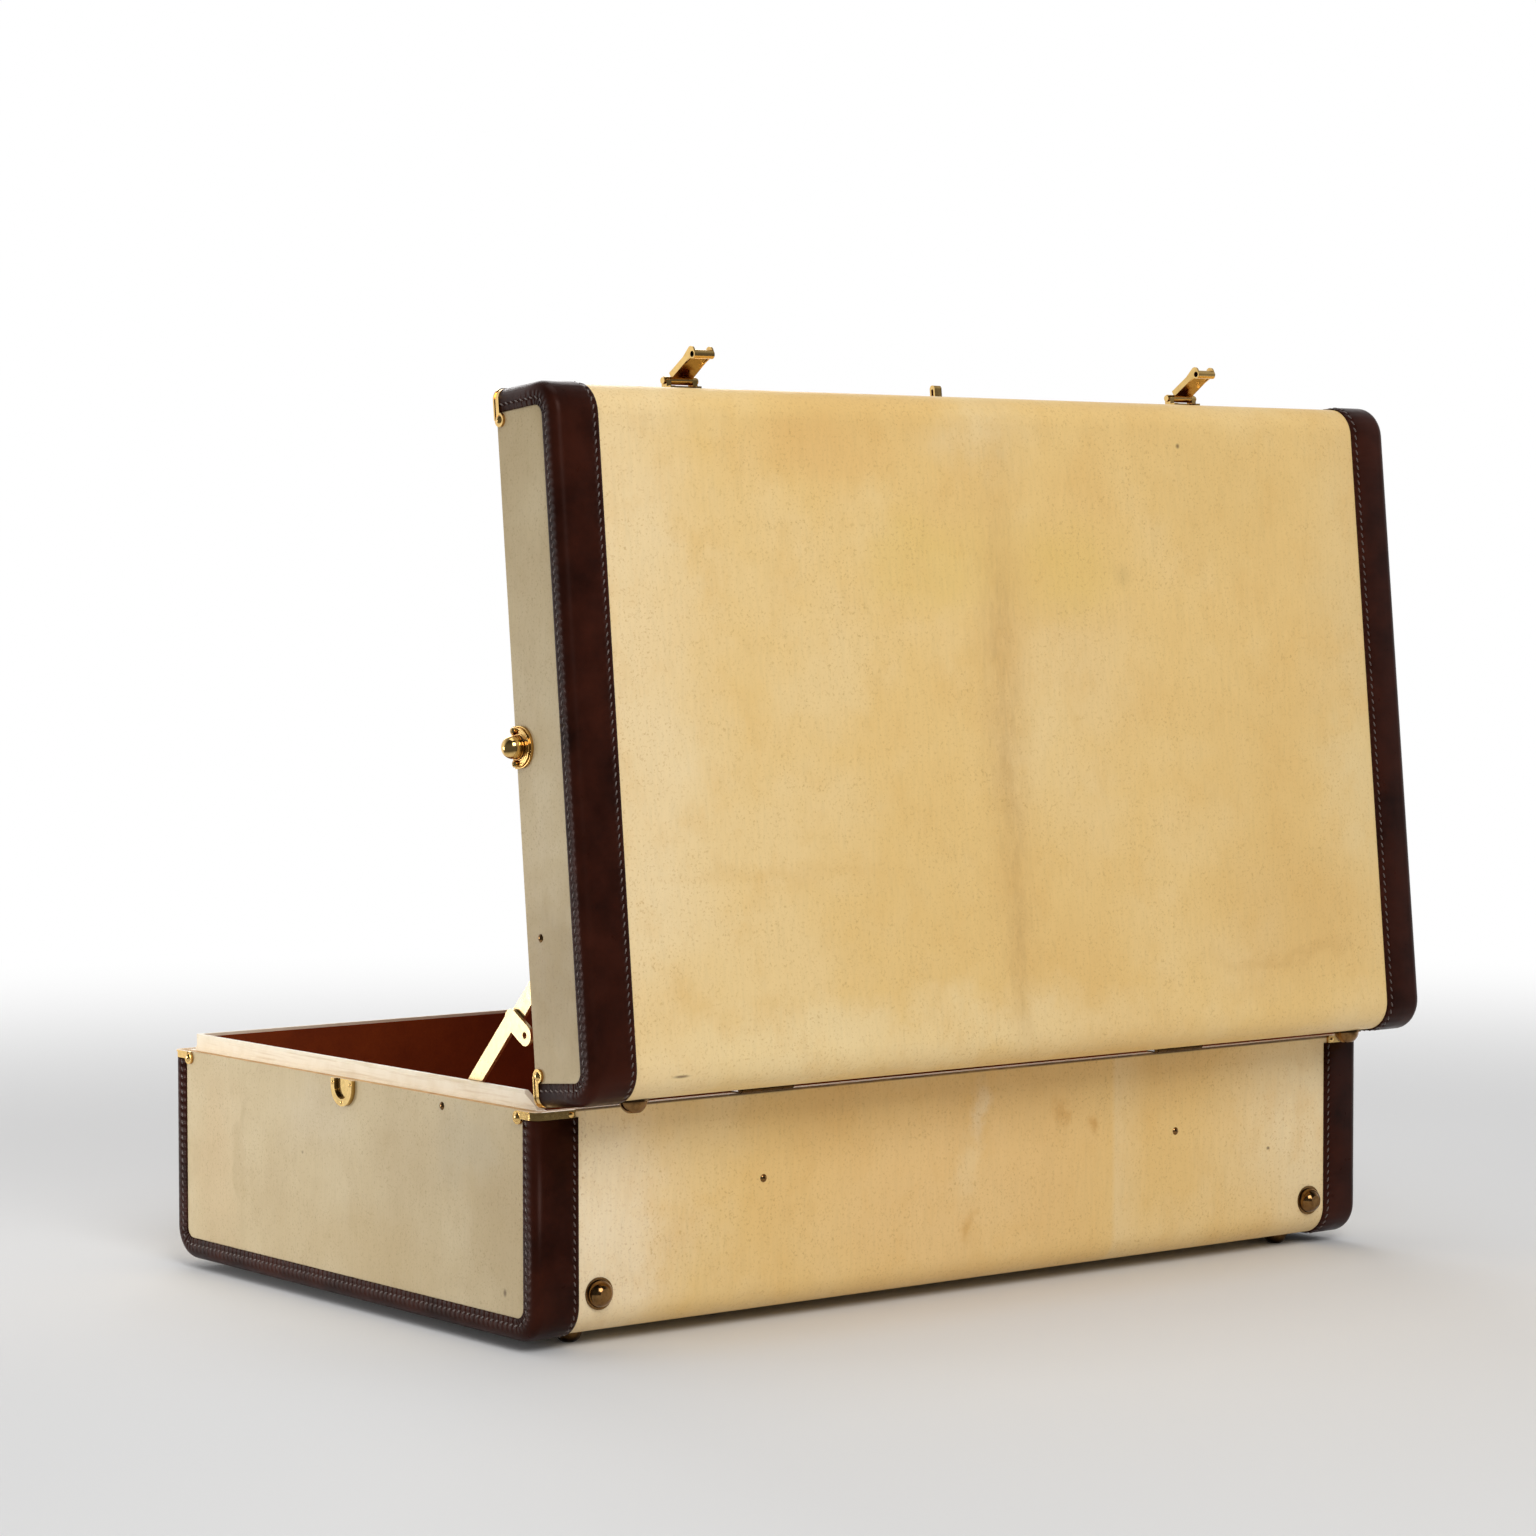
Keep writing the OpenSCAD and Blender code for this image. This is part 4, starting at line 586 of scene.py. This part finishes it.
def makePlywood(name, look):
    # Poplar plywood, sawn: dry tan wood with long fibres
    material, tree = newMaterial(name)
    place = addNode(tree, "TexCoord", {}, "Object")
    drawn = addNode(tree, "Mapping", {"Vector": place, "Scale": (0.05, 0.3, 1)}, "Vector")
    fibres = addNode(tree, "TexNoise", {"Vector": drawn, "Scale": perMm(look["fibre"]),
                                        "Detail": 4.0, "Roughness": 0.6}, "Fac")
    tone = addNode(tree, "ValToRGB", {"Fac": fibres, "stops": [
        (0.3, look["dark"]), (0.7, look["light"])]}, "Color")
    relief = addNode(tree, "Bump", {"Height": fibres, "Distance": 0.08 * mm,
                                    "Strength": 0.5}, "Normal")
    shader = addNode(tree, "BsdfPrincipled", {
        "Base Color": tone, "Normal": relief, "Roughness": 0.65}, "BSDF")
    addNode(tree, "OutputMaterial", {"Surface": shader})
    return material


finishes = {
    "vellum": makeVellum("variegatedVellum", vellum),
    "shadedEndVellum": makeVellum("endVellumPaintedShade", shadedEndVellum),
    "bridle": makeBridle("waxedBridleLeather", bridle),
    "grip": makeBridle("gripLeather", bridle, False),
    "thread": makeThread("waxedLinenThread", linen),
    "brass": makeBrass("polishedBrass", polished),
    "plateBrass": makeBrass("turnedBrass", turned),
    "cupBrass": makeBrass("stampedBrass", stamped),
    "footBrass": makeBrass("bronzedBrass", bronzed),
    "stayBrass": makeBrass("satinBrass", satin),
    "hingeBrass": makeBrass("hingeBrassPaintedShade", hingeInShade),
    "lining": makeLining("rustCottonDrill", drill),
    "frameSkin": makeFrameSkin("ivoryVellumOnLime", frameSkin),
    "plywood": makePlywood("poplarPlywood", poplar),
}

slotFinish = {
    "parchment": "vellum", "end_parchment": "shadedEndVellum", "binding_leather": "grip",
    "grip_leather": "grip", "brass": "brass", "foot_brass": "footBrass",
    "hinge_brass": "hingeBrass", "stay_brass": "stayBrass", "lining": "lining",
    "frame_skin": "frameSkin", "board": "plywood",
}

# Parts whose finish differs from their slot's
nodeFinish = {"base_rivets": "footBrass", "lid_rivets": "footBrass", "catch_cups": "cupBrass",
              "catch_plates": "plateBrass"}


def dressNodes():
    for part in frame["record"]["subparts"]:
        mesh = nodes[part["node"]].data
        mesh.materials.clear()
        finish = nodeFinish.get(part["node"], slotFinish[part["material_slot"]])
        mesh.materials.append(finishes[finish])


dressNodes()
print("materials made")


# Making pieces

def finishPiece(bm, name, body, finish, place=Matrix.Identity(4)):
    # Scaled to metres, put in its place, merged and turned outwards
    bmesh.ops.transform(bm, matrix=Matrix.Scale(mm, 4) @ place, verts=bm.verts)
    bmesh.ops.remove_doubles(bm, verts=bm.verts, dist=0.001 * mm)
    bmesh.ops.recalc_face_normals(bm, faces=bm.faces)
    mesh = bpy.data.meshes.new(name)
    bm.to_mesh(mesh)
    bm.free()
    mesh.materials.append(finishes[finish])
    for polygon in mesh.polygons:
        polygon.use_smooth = True
    piece = bpy.data.objects.new(name, mesh)
    bpy.context.scene.collection.objects.link(piece)
    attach(piece, body)
    return piece


# The binding is swept round the tray from one rim to the other. A spot on it is given by its
# distance along the tray's outer face and its distance out of that face.

def trayLeg(tray):
    return tray["height"] - case["clip"] - case["bend"]


def traySpot(along, out, tray):
    halfDepth, bend, leg = case["halfDepth"], case["bend"], trayLeg(tray)
    arc = (bend + out) * math.pi / 2
    floor = 2 * (halfDepth - bend)
    if along <= leg:
        return Vector((0, -halfDepth - out, bend + leg - along)), Vector((0, 0, -1))
    along -= leg
    if along <= arc:
        turn = along / (bend + out)
        return (Vector((0, bend - halfDepth - (bend + out) * math.cos(turn),
                        bend - (bend + out) * math.sin(turn))),
                Vector((0, math.sin(turn), -math.cos(turn))))
    along -= arc
    if along <= floor:
        return Vector((0, bend - halfDepth + along, -out)), Vector((0, 1, 0))
    along -= floor
    if along <= arc:
        turn = along / (bend + out)
        return (Vector((0, halfDepth - bend + (bend + out) * math.sin(turn),
                        bend - (bend + out) * math.cos(turn))),
                Vector((0, math.cos(turn), math.sin(turn))))
    along -= arc
    return Vector((0, halfDepth + out, bend + along)), Vector((0, 0, 1))


def trayLength(out, tray):
    return (2 * trayLeg(tray) + math.pi * (case["bend"] + out)
            + 2 * (case["halfDepth"] - case["bend"]))


def alongTray(spot, tray):
    halfDepth, bend, leg = case["halfDepth"], case["bend"], trayLeg(tray)
    if spot.z >= bend:
        first = bend + leg - spot.z
    elif abs(spot.y) <= halfDepth - bend:
        first = leg + bend * math.pi / 2 + (halfDepth - bend) - abs(spot.y)
    else:
        across = abs(spot.y) - (halfDepth - bend)
        first = leg + bend * math.atan2(bend - spot.z, across)
    return first if spot.y < 0 else trayLength(0, tray) - first


binding = {
    "rise": 0.45,        # how far the edges dip below the leather's face beside the sewing
    "seam": 3.6,         # sewing line's distance from the leather's edge on the long faces
    "borderSeam": 4.4,   # and on the end faces
    "shoulder": (1.1, 0.08),  # past the sewing: how far, and how far below the leather's face
    "level": 2.4,        # past the sewing, where the leather is back at its face
    "pucker": 5.0,       # past the sewing, how far the puckers reach on the end faces
    "longPucker": (3.0, 0.6),  # and on the long faces, with their strength
    "pitch": bridle["pitch"],
    "stitchLength": 4.0, "stitchWidth": 1.15, "slant": 24, "lift": 0.12,
    "edgeSegments": 6, "bendSteps": 10,
}


def bindingSection():
    # Points by place along the case and height out of the tray's outer face: up over the edge
    # at the parchment, round the corner to the end face, and back under the leather
    start, end = case["bandStart"], case["halfLength"]
    thick, edge, border = case["leather"], case["edge"], case["border"]
    dip, seam, borderSeam = binding["rise"], binding["seam"], binding["borderSeam"]
    (shoulder, drop), level = binding["shoulder"], binding["level"]
    outer = [
        (start, 0.0), (start, thick * 0.45), (start + 0.5, thick - dip),
        (start + seam * 0.6, thick - dip * 0.7), (start + seam, thick - dip),
        (start + seam + shoulder, thick - drop), (start + seam + level, thick),
    ]
    turn = [(end - edge + (edge + thick) * math.sin(a), -edge + (edge + thick) * math.cos(a))
            for a in (i * math.pi / 2 / binding["edgeSegments"]
                      for i in range(binding["edgeSegments"] + 1))]
    face = end + thick
    inner = [
        (face, -border + borderSeam + level), (face - drop, -border + borderSeam + shoulder),
        (face - dip, -border + borderSeam), (face - dip * 0.8, -border + borderSeam * 0.6),
        (face - dip * 1.3, -border + 0.6), (end + thick * 0.4, -border), (end, -border),
    ]
    under = [(end, -edge)] + [
        (end - edge + edge * math.cos(a), -edge + edge * math.sin(a))
        for a in (math.pi / 6, math.pi / 3, math.pi / 2)]
    return outer + turn + inner + under


def sweepRound(bm, section, tray):
    # The section goes down one side of the tray, under it and up the other
    halfDepth, bend = case["halfDepth"], case["bend"]
    top = tray["height"] - case["clip"]
    ring = [bm.verts.new((x, -halfDepth - out, top)) for x, out in section]
    edges = [bm.edges.new((ring[i], ring[(i + 1) % len(ring)])) for i in range(len(ring))]
    bm.faces.new(ring)

    def push(edges, offset):
        made = bmesh.ops.extrude_edge_only(bm, edges=edges)["geom"]
        fresh = [g for g in made if isinstance(g, bmesh.types.BMVert)]
        bmesh.ops.translate(bm, verts=fresh, vec=offset)
        freshSet = set(fresh)
        return [e for e in made if isinstance(e, bmesh.types.BMEdge)
                and e.verts[0] in freshSet and e.verts[1] in freshSet]

    def turn(edges, centre):
        verts = list(dict.fromkeys(v for e in edges for v in e.verts))
        made = bmesh.ops.spin(bm, geom=verts + edges, cent=centre, axis=(1, 0, 0),
                              angle=math.pi / 2, steps=binding["bendSteps"])
        return [g for g in made["geom_last"] if isinstance(g, bmesh.types.BMEdge)]

    edges = push(edges, (0, 0, bend - top))
    edges = turn(edges, (0, bend - halfDepth, bend))
    edges = push(edges, (0, 2 * (halfDepth - bend), 0))
    edges = turn(edges, (0, halfDepth - bend, bend))
    edges = push(edges, (0, 0, top - bend))
    bmesh.ops.contextual_create(bm, geom=edges)


def fadePast(seam, distance, reach):
    return max(0.0, 1 - max(0.0, distance - seam) / reach)


def mapBinding(bm, tray):
    # The map that the puckers run along, and how strong they are: full beside the sewing
    uv = bm.loops.layers.uv.new("binding")
    sewn = bm.verts.layers.float.new("sewn")
    start, halfDepth, bend = case["bandStart"], case["halfDepth"], case["bend"]
    reach, strength = binding["longPucker"]
    for vert in bm.verts:
        x, y, z = vert.co.x, abs(vert.co.y), vert.co.z
        if x > case["halfLength"] + 0.1:
            depth = min(z, halfDepth - y)
            if z < bend and y > halfDepth - bend:
                depth = bend - math.hypot(z - bend, y - halfDepth + bend)
            vert[sewn] = fadePast(binding["borderSeam"], case["border"] - depth,
                                  binding["pucker"])
        else:
            vert[sewn] = strength * fadePast(binding["seam"], x - start, reach)
    for face in bm.faces:
        for loop in face.loops:
            spot = loop.vert.co
            loop[uv].uv = (alongTray(spot, tray) * mm, (spot.x - start) * mm)


def addBinding(trayName, side):
    tray = trays[trayName]
    bm = bmesh.new()
    sweepRound(bm, bindingSection(), tray)
    mapBinding(bm, tray)
    if side == "left":
        bmesh.ops.scale(bm, vec=(-1, 1, 1), verts=bm.verts)
    node = "%s_binding_%s" % (trayName, side)
    piece = finishPiece(bm, "%sBinding%s" % (trayName, side.title()), trayName,
                        "bridle", tray["place"])
    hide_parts(node)


def sewStitch(bm, place, look):
    # A slim bead with few faces, because there are hundreds
    shape = Matrix.Diagonal((look["stitchLength"], look["stitchWidth"], look["stitchWidth"], 1))
    bmesh.ops.create_uvsphere(bm, u_segments=6, v_segments=5, radius=0.5, matrix=place @ shape)


def addStitches(trayName, side):
    tray = trays[trayName]
    bm = bmesh.new()
    rows = [
        {"x": case["bandStart"] + binding["seam"], "out": case["leather"] - binding["rise"],
         "onEnd": False},
        {"x": case["halfLength"] + case["leather"] - binding["rise"],
         "out": binding["borderSeam"] - case["border"], "onEnd": True},
    ]
    for row in rows:
        length = trayLength(row["out"], tray)
        count = round(length / binding["pitch"])
        step = length / count
        for index in range(count):
            spot, heading = traySpot((index + 0.5) * step, row["out"], tray)
            outward = Vector((1, 0, 0)) if row["onEnd"] else Vector((0, heading.z, -heading.y))
            spot.x = row["x"]
            across = outward.cross(heading)
            turned = Matrix.Rotation(math.radians(binding["slant"]), 3, outward)
            basis = Matrix((turned @ heading, turned @ across, outward)).transposed().to_4x4()
            lifted = Matrix.Translation(spot + outward * binding["lift"])
            sewStitch(bm, lifted @ basis, binding)
    if side == "left":
        bmesh.ops.scale(bm, vec=(-1, 1, 1), verts=bm.verts)
    finishPiece(bm, "%sStitches%s" % (trayName, side.title()), trayName,
                "thread", tray["place"])


for trayName in trays:
    for side in ("right", "left"):
        addBinding(trayName, side)
        addStitches(trayName, side)
print("bindings sewn")


# The grip: leather drawn round a core and sewn into a flat fin on its upper side. Its section
# is given as distance out from the centre of the bow and depth, both from the grip's middle.

grip = {
    "bow": 78.44, "halfTurn": 39.6, "steps": 28,   # radius and half angle of the bow
    "width": 16.0, "thickness": 11.0, "roundness": 2.4,
    "fin": 5.0, "finThickness": 4.2,
    "opening": 28, "sectionSteps": 18,  # half angle of the section that the fin takes up
    "seam": 0.45, "seamMargin": 4,      # share of the fin's height, degrees left free at each end
    "pitch": 4.6, "stitchLength": 3.2, "stitchWidth": 1.0, "slant": 20, "sink": 0.1,
}


def gripSection():
    top, bottom = -grip["width"] / 2, grip["width"] / 2
    half, finHalf = grip["thickness"] / 2, grip["finThickness"] / 2
    bodyTop = top + grip["fin"]
    middle, reach = (bodyTop + bottom) / 2, (bottom - bodyTop) / 2
    body = []
    turn, steps, power = 180 - grip["opening"], grip["sectionSteps"], 2 / grip["roundness"]
    for index in range(steps + 1):
        angle = math.radians(-turn + index * 2 * turn / steps)
        out = math.copysign(abs(math.cos(angle)) ** power, math.cos(angle)) * reach
        deep = math.copysign(abs(math.sin(angle)) ** power, math.sin(angle)) * half
        body.append((middle + out, deep))
    # From the fin's root to its rounded edge
    fin = [(bodyTop + 0.6, finHalf), (top + 1.0, finHalf - 0.1), (top + 0.3, finHalf - 0.6),
           (top, finHalf - 1.4)]
    return body + fin + [(out, -deep) for out, deep in reversed(fin)]


def addGrip():
    low, high = boxInMm("handle_grip")
    centre = Vector((0, (low.y + high.y) / 2, low.z + grip["width"] / 2 + grip["bow"]))
    start = Matrix.Rotation(math.radians(grip["halfTurn"]), 4, "Y")
    bm = bmesh.new()
    ring = [bm.verts.new(centre + start @ Vector((0, deep, -grip["bow"] - out)))
            for out, deep in gripSection()]
    edges = [bm.edges.new((ring[i], ring[(i + 1) % len(ring)])) for i in range(len(ring))]
    bm.faces.new(ring)
    made = bmesh.ops.spin(bm, geom=ring + edges, cent=centre, axis=(0, 1, 0),
                          angle=math.radians(-2 * grip["halfTurn"]), steps=grip["steps"])
    bmesh.ops.contextual_create(
        bm, geom=[g for g in made["geom_last"] if isinstance(g, bmesh.types.BMEdge)])
    piece = finishPiece(bm, "leatherGrip", "handle", "grip")
    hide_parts("handle_grip")

    bm = bmesh.new()
    row = grip["bow"] - grip["width"] / 2 + grip["fin"] * grip["seam"]
    turnEach = grip["pitch"] / row
    count = int(2 * math.radians(grip["halfTurn"] - grip["seamMargin"]) / turnEach)
    for side in (-1, 1):
        for index in range(count):
            turn = Matrix.Rotation((index - (count - 1) / 2) * turnEach, 4, "Y")
            out = side * (grip["finThickness"] / 2 - grip["sink"])
            spot = centre + turn @ Vector((0, out, -row))
            lean = Matrix.Rotation(side * math.radians(grip["slant"]), 4, "Y")
            sewStitch(bm, Matrix.Translation(spot) @ turn @ lean, grip)
    finishPiece(bm, "gripStitches", "handle", "thread")


addGrip()
print("grip sewn")


# Floor, backdrop and light

stage = {
    "radius": 30.0, "floorTone": "#E4E4E4",
    "fade": (0.9, 2.4),      # metres from the middle, where the paper turns into the backdrop
    "mirrored": (0.5, 0.9),  # and where it does so for polished metal
    "fill": 0.42, "ceiling": 0.3, "openSide": 0.1,
    "openTowards": (0.61, 0.79, 0.0),  # the studio is white behind the case and dark on this side
    "openEdge": 0.25,        # how gradually it turns dark, as a cosine
}

# Lamps: place, where it points, size, spread in degrees, power
lamps = {
    "keyLight": ((1.2, 3.1, 2.5), (0, 0.1, 0.3), 1.8, 180, 69),
    "topLight": ((0.2, 0.0, 3.2), (0, 0, 0.2), 1.8, 180, 16),
    "endLight": ((1.3, -0.8, 0.16), (0.36, -0.24, 0.06), 0.4, 60, 0.9),
    "frontLight": ((-1.4, -3.0, 2.2), (0, 0, 0.2), 2.0, 180, 34),
}


def seenRays(tree):
    path = addNode(tree, "LightPath", {})
    seen = addNode(tree, "Math", {"operation": "MAXIMUM", 0: path.outputs["Is Camera Ray"],
                                  1: path.outputs["Is Glossy Ray"]}, 0)
    return addNode(tree, "Math", {"operation": "MAXIMUM", 0: seen,
                                  1: path.outputs["Is Transmission Ray"]}, 0)


def mirroredRoom(tree, aim):
    # What polished metal shows: the white backdrop, and the darker side that the studio opens to
    seen = addNode(tree, "LightPath", {}, "Is Camera Ray")
    facing = addNode(tree, "VectorMath", {"operation": "DOT_PRODUCT", 0: aim,
                                          1: stage["openTowards"]}, "Value")
    room = addNode(tree, "MapRange", {
        "Value": facing, "interpolation_type": "SMOOTHSTEP",
        "From Min": -stage["openEdge"], "From Max": stage["openEdge"],
        "To Min": 1.0, "To Max": stage["openSide"]}, "Result")
    return addNode(tree, "Math", {"operation": "MAXIMUM", 0: room, 1: seen}, 0)


def makePaper(name):
    # Matt paper that keeps the case's shadow and fades into the white backdrop further out
    material, tree = newMaterial(name)
    place = addNode(tree, "TexCoord", {}, "Object")
    away = addNode(tree, "VectorMath", {"operation": "LENGTH", 0: place}, "Value")
    far, beyond = [addNode(tree, "MapRange", {
        "Value": away, "interpolation_type": "SMOOTHSTEP",
        "From Min": start, "From Max": end}, "Result")
        for start, end in (stage["fade"], stage["mirrored"])]
    glossy = addNode(tree, "LightPath", {}, "Is Glossy Ray")
    far = addNode(tree, "Math", {"operation": "MULTIPLY", 0: far, 1: seenRays(tree)}, 0)
    beyond = addNode(tree, "Math", {"operation": "MULTIPLY", 0: beyond, 1: glossy}, 0)
    cover = addNode(tree, "Math", {"operation": "MAXIMUM", 0: far, 1: beyond}, 0)
    lit = addNode(tree, "BsdfDiffuse", {"Color": stage["floorTone"]}, "BSDF")
    aim = addNode(tree, "VectorMath", {"operation": "NORMALIZE", 0: place}, "Vector")
    white = addNode(tree, "Emission", {"Color": linear(1.0),
                                       "Strength": mirroredRoom(tree, aim)}, "Emission")
    mixed = addNode(tree, "MixShader", {0: cover, 1: lit, 2: white}, 0)
    addNode(tree, "OutputMaterial", {"Surface": mixed})
    return material


def addFloor():
    bm = bmesh.new()
    bmesh.ops.create_circle(bm, cap_ends=True, segments=64, radius=stage["radius"])
    mesh = bpy.data.meshes.new("floor")
    bm.to_mesh(mesh)
    bm.free()
    mesh.materials.append(makePaper("paperFloor"))
    floor = bpy.data.objects.new("floor", mesh)
    bpy.context.scene.collection.objects.link(floor)


def addLamp(name):
    spot, target, size, spread, power = lamps[name]
    data = bpy.data.lights.new(name, "AREA")
    data.shape = "SQUARE"
    data.size = size
    data.spread = math.radians(spread)
    data.energy = power
    lamp = bpy.data.objects.new(name, data)
    bpy.context.scene.collection.objects.link(lamp)
    lamp.visible_camera = False
    lamp.location = spot
    lamp.rotation_euler = (Vector(target) - Vector(spot)).to_track_quat("-Z", "Y").to_euler()


def addWorld():
    # White all round, with a greyer ceiling and open side that give the brass something to
    # reflect, and a plain fill for the rest
    world = bpy.data.worlds.new("studio")
    bpy.context.scene.world = world
    world.use_nodes = True
    tree = world.node_tree
    tree.nodes.clear()
    aim = addNode(tree, "TexCoord", {}, "Generated")
    up = addNode(tree, "SeparateXYZ", {"Vector": aim}, "Z")
    ceiling = addNode(tree, "ValToRGB", {"Fac": up, "stops": [
        (0.35, 1.0), (0.75, stage["ceiling"])]}, "Color")
    shown = addNode(tree, "Background", {"Color": ceiling,
                                         "Strength": mirroredRoom(tree, aim)}, "Background")
    fill = addNode(tree, "Background", {"Color": linear(1.0),
                                        "Strength": stage["fill"]}, "Background")
    mixed = addNode(tree, "MixShader", {0: seenRays(tree), 1: fill, 2: shown}, 0)
    addNode(tree, "OutputWorld", {"Surface": mixed})


addFloor()
addWorld()
for name in lamps:
    addLamp(name)
bpy.context.scene.view_settings.view_transform = "Standard"
print("stage lit")
